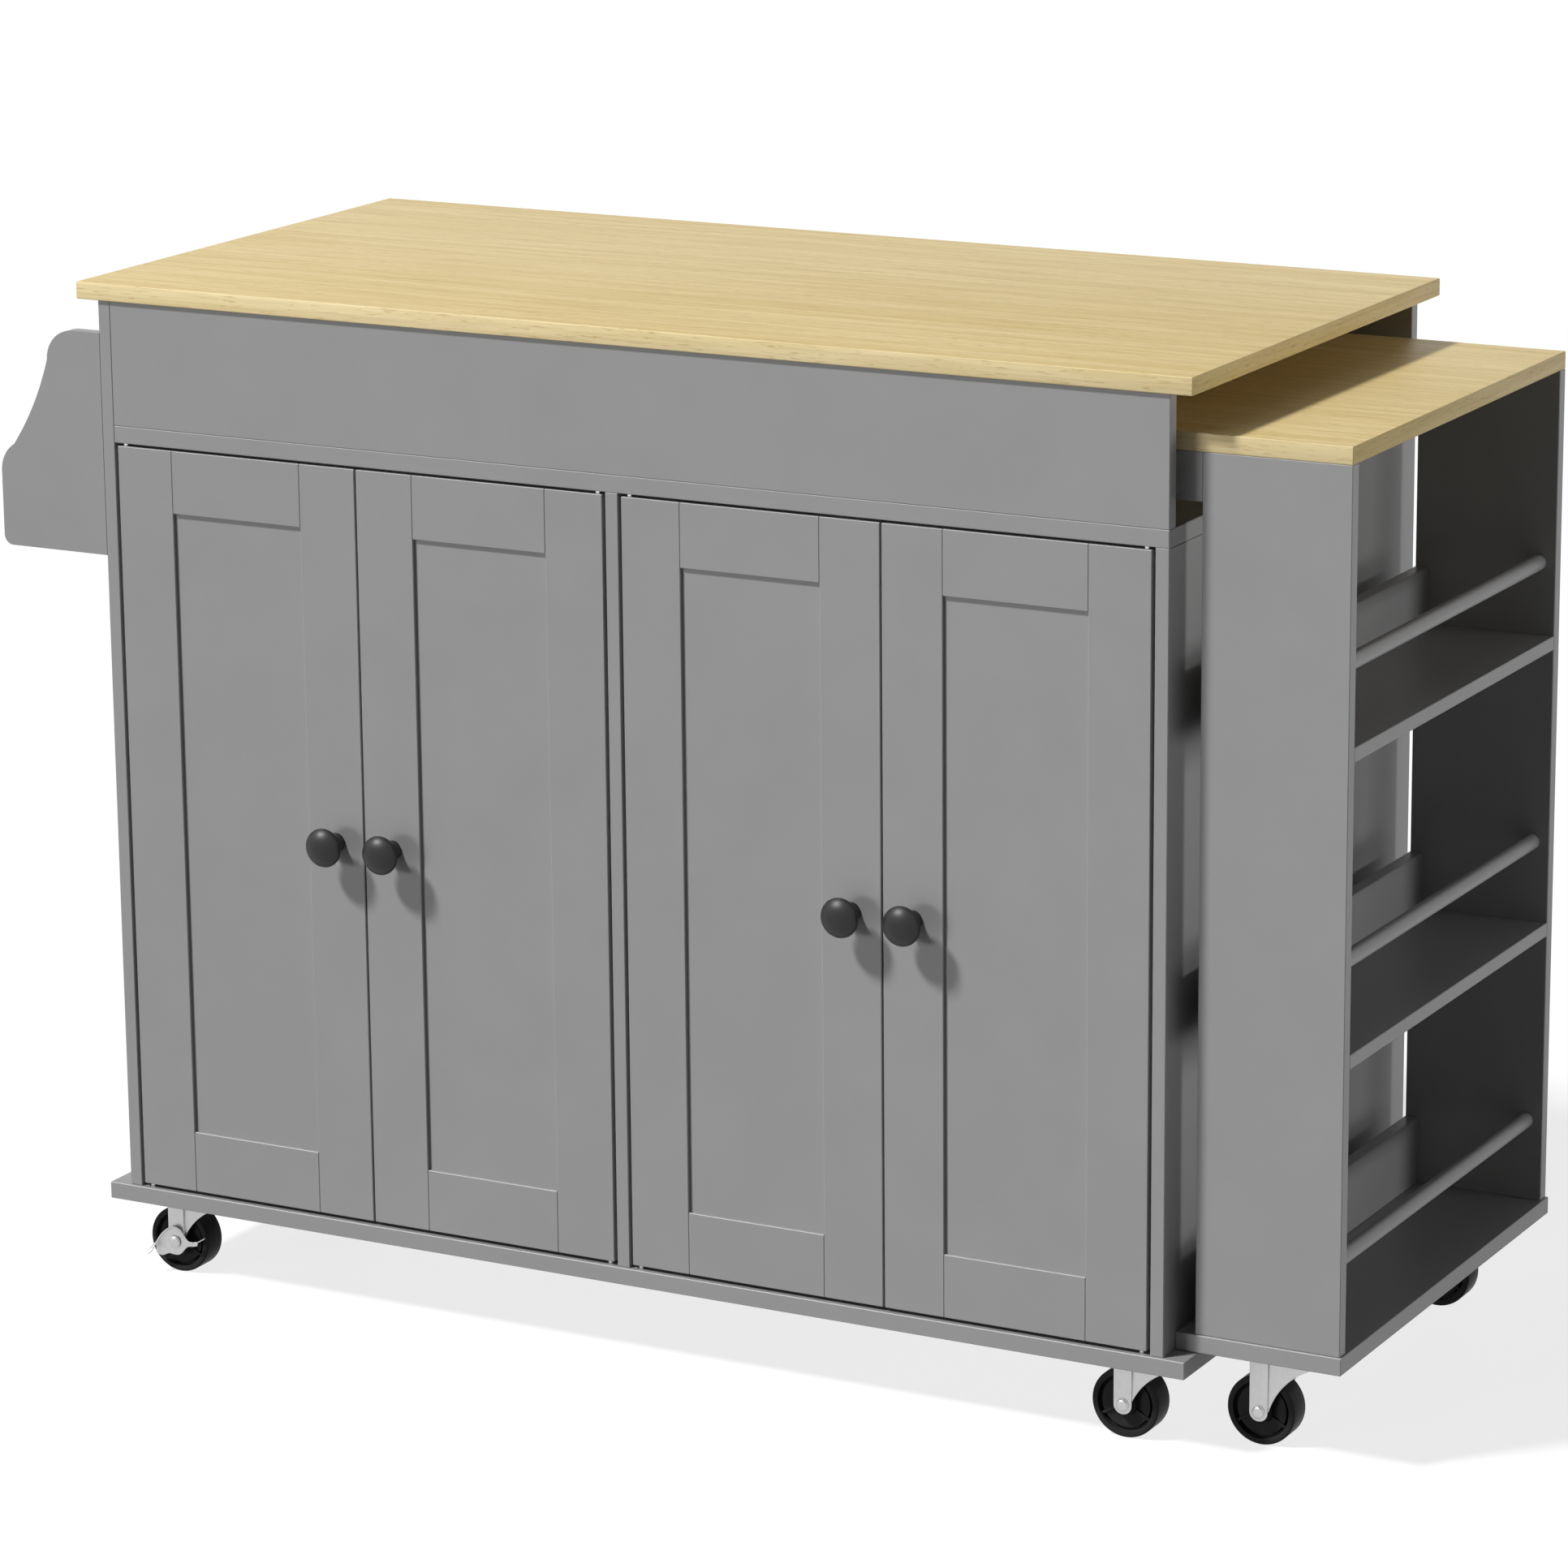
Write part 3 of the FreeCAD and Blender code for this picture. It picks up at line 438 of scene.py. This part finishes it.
rib_count, rib_middle, rib_round = 3, 16.6 * mm, 0.5 * mm
rib_size = (2.4 * mm, 21 * mm, 15.6 * mm)
for turn in range(rib_count):
    start_piece()
    bpy.ops.mesh.primitive_cube_add(size=1, location=(0, 0, rib_middle), scale=rib_size)
    bpy.ops.object.transform_apply()
    soften(rib_round, segments=2, angle=30)
    rib = bpy.context.object
    rib.rotation_euler = (0, math.radians(360 / rib_count * turn), 0)
    bpy.ops.object.transform_apply()
    join_to(wheel_pattern, rib)
print("wheel with ribs", len(wheel_pattern.data.polygons))

# %% [markdown]
# ## A pressed caster fork
# A fork is two bends of steel sheet. A flat strap comes down each side to the axle, rounded at its end; a
# longer web runs from there to the swivel, its lower edge cut in a hollow sweep so that the wheel can turn.
# Two thick boxes could be carved to that shape, but then the wall would not be even. Here a box loses its
# bottom and ends, which leaves an upside-down channel. Bevelling its two long edges makes the bends, and a
# Solidify modifier gives it the thickness of the sheet.

# %% Bent channel
# Sizes in millimetres, from the swivel axis and the floor. Points nearer than near count as one place.
axle_x, axle_z = -13, 30
sheet, bend = 2.2, 3.5
near = 0.1


def pick_edges(test):
    """In edit mode, select the edges whose two ends pass the test."""
    bpy.ops.object.mode_set(mode="EDIT")
    bpy.ops.mesh.select_mode(type="EDGE")
    bpy.ops.mesh.select_all(action="DESELECT")
    bpy.ops.object.mode_set(mode="OBJECT")
    mesh = bpy.context.object.data
    for edge in mesh.edges:
        edge.select = test(*(mesh.vertices[i].co for i in edge.vertices))
    bpy.ops.object.mode_set(mode="EDIT")


def bent_channel(x_low, x_high, half_width, z_low, z_high):
    """An upside-down channel without thickness, open at both ends; sizes in millimetres."""
    start_piece()
    middle = Vector(((x_low + x_high) / 2, 0, (z_low + z_high) / 2)) * mm
    size = Vector((x_high - x_low, 2 * half_width, z_high - z_low)) * mm
    bpy.ops.mesh.primitive_cube_add(size=1, location=middle, scale=size)
    bpy.ops.object.transform_apply()
    pick_faces(lambda centre, normal: normal.z < -0.9 or abs(normal.x) > 0.9)
    bpy.ops.mesh.delete(type="FACE")
    top = (z_high - near) * mm
    pick_edges(lambda a, b: min(a.z, b.z) > top and abs(a.y - b.y) < near * mm)
    bpy.ops.mesh.bevel(offset=bend * mm, segments=5, affect="EDGES")
    bpy.ops.object.mode_set(mode="OBJECT")
    return bpy.context.object


print("axle behind the swivel by", -axle_x, "mm, above the floor by", axle_z, "mm")

# %% [markdown]
# ## Strap of the fork
# The strap is a narrow channel. Its end is round about the axle, as the punch left it. A disc could be
# joined on; rounding the two corners of the sheet before it gets its thickness leaves no seam.

# %% Strap
strap_half, leg_half, fork_round = 8.1, 17, 0.35


def give_thickness(piece, thickness, offset):
    """Turn a surface into sheet; an offset of -1 grows it inwards, 0 to both sides alike."""
    wall = piece.modifiers.new("sheet", "SOLIDIFY")
    wall.thickness, wall.offset, wall.use_even_offset = thickness * mm, offset, True
    bpy.ops.object.modifier_apply(modifier=wall.name)


def fork_strap(crown):
    """The strap on both sides of the wheel; the crown is the height of its bend."""
    leg = bent_channel(axle_x - strap_half, axle_x + strap_half, leg_half, axle_z - strap_half, crown)
    low = (axle_z - strap_half + near) * mm
    pick_edges(lambda a, b: max(a.z, b.z) < low)
    bpy.ops.mesh.bevel(offset=(strap_half - near) * mm, segments=10, affect="VERTICES")
    bpy.ops.object.mode_set(mode="OBJECT")
    give_thickness(leg, sheet, -1)
    soften(fork_round * mm, segments=2, angle=50)
    return leg


print("strap", 2 * strap_half, "mm broad")

# %% [markdown]
# ## Web of the fork
# The web's lower edge is an arc from its tip below the board down to the strap. It could be drawn point by
# point, but a press tool cuts it in one stroke, and so does a round cutter here. Its radius follows from
# the chord between the two ends and from how hollow the arc is.

# %% Web
web_half, web_end, web_overlap, cutter_length = 15.4, 31, 2.5, 100


def cut_away(piece, cutter):
    """Take a cutter's shape out of a piece, then put the cutter away."""
    start_piece()
    piece.select_set(True)
    bpy.context.view_layer.objects.active = piece
    cut = piece.modifiers.new("cut", "BOOLEAN")
    cut.object, cut.operation, cut.solver = cutter, "DIFFERENCE", "EXACT"
    bpy.ops.object.modifier_apply(modifier=cut.name)
    bpy.data.objects.remove(cutter)


def fork_web(crown, tip, toe_height, hollow_share):
    """The web, cut from its tip down to its toe, a height above the axle where it meets the strap."""
    web = bent_channel(axle_x + strap_half - web_overlap, web_end, web_half, axle_z, crown)
    give_thickness(web, sheet, -1)
    toe = Vector((axle_x + strap_half, axle_z + toe_height))
    chord = (toe - tip).length
    hollow = hollow_share * chord
    sweep = chord ** 2 / (8 * hollow) + hollow / 2
    outward = Vector((tip.y - toe.y, toe.x - tip.x)).normalized()
    middle = (tip + toe) / 2 + outward * (sweep - hollow)
    start_piece()
    bpy.ops.mesh.primitive_cylinder_add(vertices=128, radius=sweep * mm, depth=cutter_length * mm,
                                        rotation=along_y, location=(middle.x * mm, 0, middle.y * mm))
    cut_away(web, bpy.context.object)
    soften(fork_round * mm, segments=2, angle=50)
    return web


print("web", 2 * web_half, "mm across, strap", 2 * leg_half, "mm across")

# %% [markdown]
# ## Two kinds of fork
# The cart's board lies higher than the cabinet's, so its forks are taller and their webs reach further. One
# shape could be stretched, but then its sheet and its rounding would stretch too. Each kind is built from
# its own crown, tip, toe and hollow.

# %% Forks
crowns = {"cabinet": 64.2, "cart": 79.7}
sweeps = {"cabinet": ((23, 62), 4, 0.085), "cart": ((31, 71.5), 0, 0.11)}
fork_patterns = {}
for kind, (tip, toe_height, hollow_share) in sweeps.items():
    fork = fork_strap(crowns[kind])
    join_to(fork, fork_web(crowns[kind], Vector(tip), toe_height, hollow_share))
    fork_patterns[kind] = fork
    print("fork of the", kind, "faces", len(fork.data.polygons))

# %% [markdown]
# ## Axle rivet and king pin
# The wheel turns on a rivet whose ends are peened into low domes with a small collar. The king pin holds
# the fork to its plate. Separate heads could be set on a rod; here both grow from the rod itself, its end
# faces widened and extruded ring by ring, as a hammer would spread them.

# %% Rivet and pin
rivet_radius, rivet_crest = 4, 0.08
dome_rings = ((5.8, 0), (5.8, 0.9), (5.2, 1.0), (5.0, 1.6), (4.3, 2.2), (3.1, 2.65), (1.6, 2.92))
pin_radius, pin_length, pin_round = 5, 7.7, 0.3
pin_head_ratio, pin_head_height = 1.4, 1


def axle_rivet(front_reach, back_reach):
    """A rivet on the axle; the reaches are how far its grip goes to the front and to the back."""
    start_piece()
    length = front_reach + back_reach
    middle = Vector((axle_x, (back_reach - front_reach) / 2, axle_z)) * mm
    bpy.ops.mesh.primitive_cylinder_add(vertices=40, radius=rivet_radius * mm, depth=length * mm,
                                        location=middle, rotation=along_y)
    bpy.ops.object.transform_apply()
    for towards, reach in ((-1, front_reach), (1, back_reach)):
        end = Vector((axle_x, towards * reach, axle_z)) * mm
        pick_faces(lambda centre, normal: (centre - end).length < near * mm)
        grow_rings(end, towards, rivet_radius, dome_rings)
        bpy.ops.mesh.poke(offset=rivet_crest * mm)
    close_up()
    bpy.ops.object.shade_smooth_by_angle(angle=math.radians(35))
    return bpy.context.object


def king_pin(crown):
    """A pin on the swivel axis, its head under the sheet of the crown."""
    start_piece()
    head = (0, 0, (crown - sheet) * mm)
    bpy.ops.mesh.primitive_cylinder_add(vertices=32, radius=pin_radius * mm, depth=pin_length * mm,
                                        location=(0, 0, (crown - sheet + pin_length / 2) * mm))
    bpy.ops.object.transform_apply()
    pick_faces(lambda centre, normal: normal.z < -0.9)
    bpy.ops.mesh.extrude_region_move(TRANSFORM_OT_translate={"value": (0, 0, 0)})
    bpy.ops.transform.resize(value=(pin_head_ratio, pin_head_ratio, 1), center_override=head)
    bpy.ops.mesh.extrude_region_move(TRANSFORM_OT_translate={"value": (0, 0, -pin_head_height * mm)})
    close_up()
    soften(pin_round * mm, segments=2, angle=40)
    return bpy.context.object


print("rivet rings", len(dome_rings))

# %% [markdown]
# ## A stamped brake lever
# The lever is a wing of steel sheet round the rivet, with a narrow arm on the right. It could be a box
# rounded all over, but a stamping has one thickness and a waved outline. So a strip of sheet is drawn out
# from the boss to both sides, a station at a time. A station is a place along X with the heights of the
# lower and the upper edge there, all in millimetres from the rivet.

# %% Lever outline
boss_left, boss_right, boss_low, boss_high = -2, 3.6, -12.4, 13.6
arm_outline = (
    (7, -9.8, 10.8), (9.8, -6.2, 6.8), (12.4, -3.4, 3.2), (15.2, -2.4, 1.4), (18.4, -2.4, 1.8),
    (21.6, -1.5, 2.5), (23.4, -0.9, 2.4),
)
wing_outline = (
    (-5.2, -11.8, 12), (-8, -12, 9.9), (-11, -13.9, 7.4), (-14.9, -15.4, 3), (-18, -14.4, -1.8),
    (-20.5, -13.4, -4.8),
)


def draw_out(start_x, outline):
    """Extrude the strip's end at start_x from station to station."""
    pick_edges(lambda a, b: max(abs(a.x - start_x * mm), abs(b.x - start_x * mm)) < near * mm)
    low, high = boss_low, boss_high
    for x, next_low, next_high in outline:
        step = Vector((x - start_x, 0, (next_low + next_high - low - high) / 2)) * mm
        bpy.ops.mesh.extrude_region_move(TRANSFORM_OT_translate={"value": step})
        middle = Vector((x, 0, (next_low + next_high) / 2)) * mm
        ratio = (next_high - next_low) / (high - low)
        bpy.ops.transform.resize(value=(1, 1, ratio), center_override=middle)
        start_x, low, high = x, next_low, next_high


start_piece()
boss_middle = Vector((boss_left + boss_right, 0, boss_low + boss_high)) * mm / 2
bpy.ops.mesh.primitive_grid_add(x_subdivisions=1, y_subdivisions=4, size=mm, rotation=along_y,
                                location=boss_middle)
lever_pattern = bpy.context.object
lever_pattern.scale = (boss_right - boss_left, boss_high - boss_low, 1)
bpy.ops.object.transform_apply()
draw_out(boss_right, arm_outline)
draw_out(boss_left, wing_outline)
bpy.ops.object.mode_set(mode="OBJECT")
print("lever strip faces", len(lever_pattern.data.polygons))

# %% [markdown]
# ## Lip and foot of the lever
# The upper edge of the wing is turned out into a lip that keeps the sheet stiff, and at the left end the
# lip is drawn out and twisted flat into a foot to step on. Both could be pieces of their own, but on the
# real lever they are the same sheet, so they are extruded from its edge.

# %% Lip and foot
upper_edge = {boss_left: boss_high, boss_right: boss_high}
upper_edge.update({x: high for x, low, high in wing_outline + arm_outline[:1]})


def on_upper_edge(point):
    """Whether a point is one of the stations on the edge that the lip grows from."""
    return any(abs(point.x - x * mm) + abs(point.z - z * mm) < near * mm for x, z in upper_edge.items())


lip_reach, lip_rise, foot_start = 2.8, 0.4, -17
pick_edges(lambda a, b: on_upper_edge(a) and on_upper_edge(b))
turn_out = Vector((0, -lip_reach, lip_rise)) * mm
bpy.ops.mesh.extrude_region_move(TRANSFORM_OT_translate={"value": turn_out})
pick_edges(lambda a, b: max(a.y, b.y) < -0.9 * lip_reach * mm and max(a.x, b.x) < foot_start * mm)
# A step of the foot is a move in millimetres and a twist in degrees.
foot_steps = (((-2, -4.2, -5), -35), ((-1.5, -4.8, -3.4), -30))
for move, twist in foot_steps:
    bpy.ops.mesh.extrude_region_move(TRANSFORM_OT_translate={"value": Vector(move) * mm})
    bpy.ops.object.mode_set(mode="OBJECT")
    mesh = bpy.context.object.data
    ends = [mesh.vertices[i].co.copy() for edge in mesh.edges if edge.select for i in edge.vertices]
    bpy.ops.object.mode_set(mode="EDIT")
    middle = sum(ends, Vector()) / len(ends)
    bpy.ops.transform.rotate(value=math.radians(twist), orient_axis="Y", center_override=middle)
bpy.ops.object.mode_set(mode="OBJECT")
print("lever faces with lip and foot", len(lever_pattern.data.polygons))

# %% [markdown]
# ## Sheet of the lever
# A stamping has no kinks, because the die draws the metal in curves. More stations could smooth the
# outline; a Subdivision Surface modifier does it everywhere at once, lip and foot too. Only then does the
# sheet get its thickness, which therefore stays even.

# %% Lever sheet
lever_sheet, lever_round = 1.4, 0.2
smooth = lever_pattern.modifiers.new("stamping", "SUBSURF")
smooth.levels = smooth.render_levels = 2
bpy.ops.object.modifier_apply(modifier=smooth.name)
give_thickness(lever_pattern, lever_sheet, 0)
soften(lever_round * mm, segments=2, angle=50)
print("lever faces", len(lever_pattern.data.polygons))

# %% [markdown]
# ## Lever wire and rivet hole
# The arm carries a thin spring wire that rises to the right. A curve with a round section could draw it; it
# is straight, so a slim cylinder, narrower at its far end, is turned to that slope and joined to the lever.
# Before that, a round cutter opens the hole for the rivet.

# %% Lever wire and bore
wire_radius, wire_length, wire_slope, wire_taper = 0.7, 16, 58, 0.6
wire_middle = Vector((24.5, 0, 3)) * mm
start_piece()
bpy.ops.mesh.primitive_cylinder_add(vertices=12, radius=wire_radius * mm, depth=wire_length * mm)
wire = bpy.context.object
pick_faces(lambda centre, normal: normal.z > 0.9)
wire_end = (0, 0, wire_length / 2 * mm)
bpy.ops.transform.resize(value=(wire_taper, wire_taper, 1), center_override=wire_end)
bpy.ops.object.mode_set(mode="OBJECT")
bpy.ops.object.shade_smooth_by_angle(angle=math.radians(40))
wire.rotation_euler = (0, math.radians(wire_slope), 0)
wire.location = wire_middle
bpy.ops.object.transform_apply()

bore_radius, bore_cutter_length = 4.05, 20
start_piece()
bpy.ops.mesh.primitive_cylinder_add(vertices=40, radius=bore_radius * mm, depth=bore_cutter_length * mm,
                                    rotation=along_y)
cut_away(lever_pattern, bpy.context.object)
join_to(lever_pattern, wire)
print("lever with wire", len(lever_pattern.data.polygons))

# %% [markdown]
# ## Fittings on the doors
# Each door carries a knob, its screw and a strike plate. They could be typed in place one by one, but the
# construction model already says where a door is: its box gives the middle of the stile that carries the
# knob, on the side away from the pivots. A copy gets its own mesh, so that its place can be in the mesh.

# %% Door fittings in place
def copy_to(pattern, place):
    """A copy of a pattern with its own mesh, moved so that its place is in the mesh."""
    start_piece()
    pattern.select_set(True)
    bpy.context.view_layer.objects.active = pattern
    bpy.ops.object.duplicate(linked=False)
    bpy.ops.transform.translate(value=place)
    bpy.ops.object.transform_apply()
    return bpy.context.object


stile, knob_height, strike_offset, strike_drop = 55 * mm, 426.1 * mm, 40 * mm, 6.1 * mm
doors = {"far_left": True, "mid_left": False, "mid_right": True, "far_right": False}
for door, pivots_left in doors.items():
    low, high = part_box(door + "_door_frame")
    side = -1 if pivots_left else 1
    free_edge = high.x if pivots_left else low.x
    knob_x = free_edge + side * stile / 2
    knob = settle(copy_to(knob_pattern, (knob_x, low.y, knob_height)), door + "_knob", door + "_door",
                  "black_knob", knob_black)
    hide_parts(door + "_door_hardware")
    screw_place = (knob_x, high.y + head_height / 2, knob_height)
    settle(copy_to(screw_pattern, screw_place), door + "_knob_screw", door + "_door",
           "pin_steel", nickel)
    strike_place = (free_edge + side * strike_offset, high.y + strike_thickness / 2, high.z - strike_drop)
    settle(copy_to(strike_pattern, strike_place), door + "_strike_plate", door + "_door",
           "pin_steel", nickel)
for pattern in (knob_pattern, screw_pattern, strike_pattern):
    bpy.data.objects.remove(pattern)
print("knobs, screws and strike plates:", len(doors), "each")

# %% [markdown]
# ## Six casters
# Four casters carry the cabinet and two the cart. The middle of a wheel's box is its axle, and every other
# piece of a caster is placed from there, which is surer than a list of places. Each rivet has its own
# length, because two casters also hold a brake lever under its head: the front one on the left, and its
# mirror image behind it.

# %% Brake lever in place
lever_plane = 18.3 * mm


def place_lever(caster, axle, side):
    """A lever in front of the wheel where side is -1, its mirror image behind it where side is 1."""
    lever = copy_to(lever_pattern, (0, 0, 0))
    if side > 0:
        bpy.ops.transform.mirror(constraint_axis=(False, True, False))
        bpy.ops.object.transform_apply()
        close_up()
    bpy.ops.transform.translate(value=axle + Vector((0, side * lever_plane, 0)))
    bpy.ops.object.transform_apply()
    settle(lever, caster + "_lever", caster + "_brake", "caster_steel", zinc)
    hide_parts(caster + "_brake_lever")


print("lever", round(lever_plane / mm, 1), "mm from the middle of the wheel")

# %% Casters in place
lever_room = 2.6
casters = {
    "front_left": ("cabinet", -1), "rear_left": ("cabinet", 1), "front_right": ("cabinet", 0),
    "rear_right": ("cabinet", 0), "cart_front": ("cart", 0), "cart_rear": ("cart", 0),
}
for caster, (kind, lever_side) in casters.items():
    low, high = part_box(caster + "_wheel")
    axle = (low + high) / 2
    wheel = settle(copy_to(wheel_pattern, axle), caster + "_caster_wheel", caster + "_roller",
                   "wheel_plastic", wheel_black)
    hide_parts(caster + "_wheel")
    fork = copy_to(fork_patterns[kind], (0, 0, 0))
    front_reach = leg_half + (lever_room if lever_side < 0 else 0)
    back_reach = leg_half + (lever_room if lever_side > 0 else 0)
    join_to(fork, axle_rivet(front_reach, back_reach), king_pin(crowns[kind]))
    bpy.ops.transform.translate(value=(axle.x - axle_x * mm, axle.y, 0))
    bpy.ops.object.transform_apply()
    settle(fork, caster + "_caster_fork", caster + "_caster", "caster_steel", zinc)
    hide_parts(caster + "_fork")
    if lever_side:
        place_lever(caster, axle, lever_side)
for pattern in (wheel_pattern, lever_pattern, *fork_patterns.values()):
    bpy.data.objects.remove(pattern)
print("casters", len(casters))

# %% [markdown]
# ## Floor
# The island stands on a plain white sheet. A real sheet would need so much light to look white that the
# island would be washed out. So rays that reach the camera, straight or by way of a mirror or glass, see it
# white with a faint soft shadow of the island: mostly its own white, and for the rest whatever light falls
# on it. Light that bounces off it on to the island is kept lower, as on a pale studio floor.

# %% Floor
def shown(tree):
    """1 for a ray that shows the surroundings, 0 for one that only carries light."""
    rays = add_node(tree, "LightPath", {}).outputs
    mirrored = {0: rays["Is Glossy Ray"], 1: rays["Is Transmission Ray"]}
    bounced = add_node(tree, "Math", mirrored, operation="MAXIMUM").outputs["Value"]
    straight = {0: rays["Is Camera Ray"], 1: bounced}
    return add_node(tree, "Math", straight, operation="MAXIMUM").outputs["Value"]


floor_size, own_white, own_share = 60, 1.06, 0.75
start_piece()
bpy.ops.mesh.primitive_plane_add(size=floor_size)
floor = bpy.context.object
floor.name = "studio_floor"
paper = bpy.data.materials.new("white_paper")
paper.use_nodes = True
tree = paper.node_tree
tree.nodes.clear()
lit = add_node(tree, "BsdfDiffuse", {"Color": linear("#ffffff")}).outputs["BSDF"]
plain = add_node(tree, "Emission", {"Color": linear("#ffffff"), "Strength": own_white}).outputs["Emission"]
white = add_node(tree, "MixShader", {"Fac": own_share, 1: lit, 2: plain}).outputs["Shader"]
dim = add_node(tree, "BsdfDiffuse", {"Color": linear("#787878")}).outputs["BSDF"]
both = add_node(tree, "MixShader", {"Fac": shown(tree), 1: dim, 2: white})
add_node(tree, "OutputMaterial", {"Surface": both.outputs["Shader"]})
floor.data.materials.append(paper)
print("floor", floor.name)

# %% [markdown]
# ## Studio light
# Near lamps would leave bright spots on the doors. All lamps are far away, so every front has one even
# tone. A high lamp in front and to the left draws the short shadows below the knobs. The other three stand
# low, so that they light what is upright and leave the shade under the worktop dark: one fills the front,
# a weak one on the right draws the edges of the cart, and one behind lights the back. They are kept out of
# reflections, or the tops would glare towards them. A faint even glow all round keeps the dark corners
# readable.

# %% Light
def far_lamp(name, towards, spread, level, mirrored):
    """A lamp in a direction; its level is how bright it makes a white sheet that faces it."""
    lamp = bpy.data.lights.new(name, "SUN")
    lamp.angle, lamp.energy = math.radians(spread), level * math.pi
    holder = bpy.data.objects.new(name, lamp)
    bpy.context.scene.collection.objects.link(holder)
    holder.rotation_euler = (-Vector(towards)).to_track_quat("-Z", "Y").to_euler()
    holder.visible_glossy = mirrored


far_lamp("key_lamp", (-0.95, -1, 1.6), spread=7, level=1.05, mirrored=True)
far_lamp("fill_lamp", (-0.6, -1, 0.02), spread=20, level=0.53, mirrored=False)
far_lamp("edge_lamp", (1, 0.25, 0.03), spread=20, level=0.45, mirrored=False)
far_lamp("back_lamp", (-0.3, 1, 0.03), spread=10, level=0.4, mirrored=False)
glow_level, backdrop_level = 0.035, 1
world = bpy.data.worlds.new("studio_glow")
bpy.context.scene.world = world
world.use_nodes = True
tree = world.node_tree
tree.nodes.clear()
glow = add_node(tree, "Background", {"Color": linear("#ffffff"), "Strength": glow_level})
bright = add_node(tree, "Background", {"Color": linear("#ffffff"), "Strength": backdrop_level})
surroundings = {"Fac": shown(tree), 1: glow.outputs["Background"], 2: bright.outputs["Background"]}
both = add_node(tree, "MixShader", surroundings)
add_node(tree, "OutputWorld", {"Surface": both.outputs["Shader"]})
bpy.context.scene.view_settings.view_transform = "Standard"
print("lamps", len(bpy.data.lights))

# %% [markdown]
# ## Camera
# A long lens from the right, at the height of a standing person's eyes, as the picture was taken. It could
# be set by eye; here its place, its turn and its lens were worked out from the corners of the boards in
# the picture.

# %% Camera
yaw, pitch, roll = 0.49241, 0.25201, 0.00902
lens = bpy.data.cameras.new("camera")
lens.sensor_width, lens.lens = 36, 136.68
camera = bpy.data.objects.new("camera", lens)
bpy.context.scene.collection.objects.link(camera)
camera.location = (2.37385, -4.40294, 1.74409)
forward = Vector((-math.sin(yaw) * math.cos(pitch), math.cos(yaw) * math.cos(pitch), -math.sin(pitch)))
turned = forward.to_track_quat("-Z", "Y") @ Quaternion((0, 0, 1), -roll)
camera.rotation_euler = turned.to_euler()
bpy.context.scene.camera = camera
print("lens", round(lens.lens, 1), "mm")
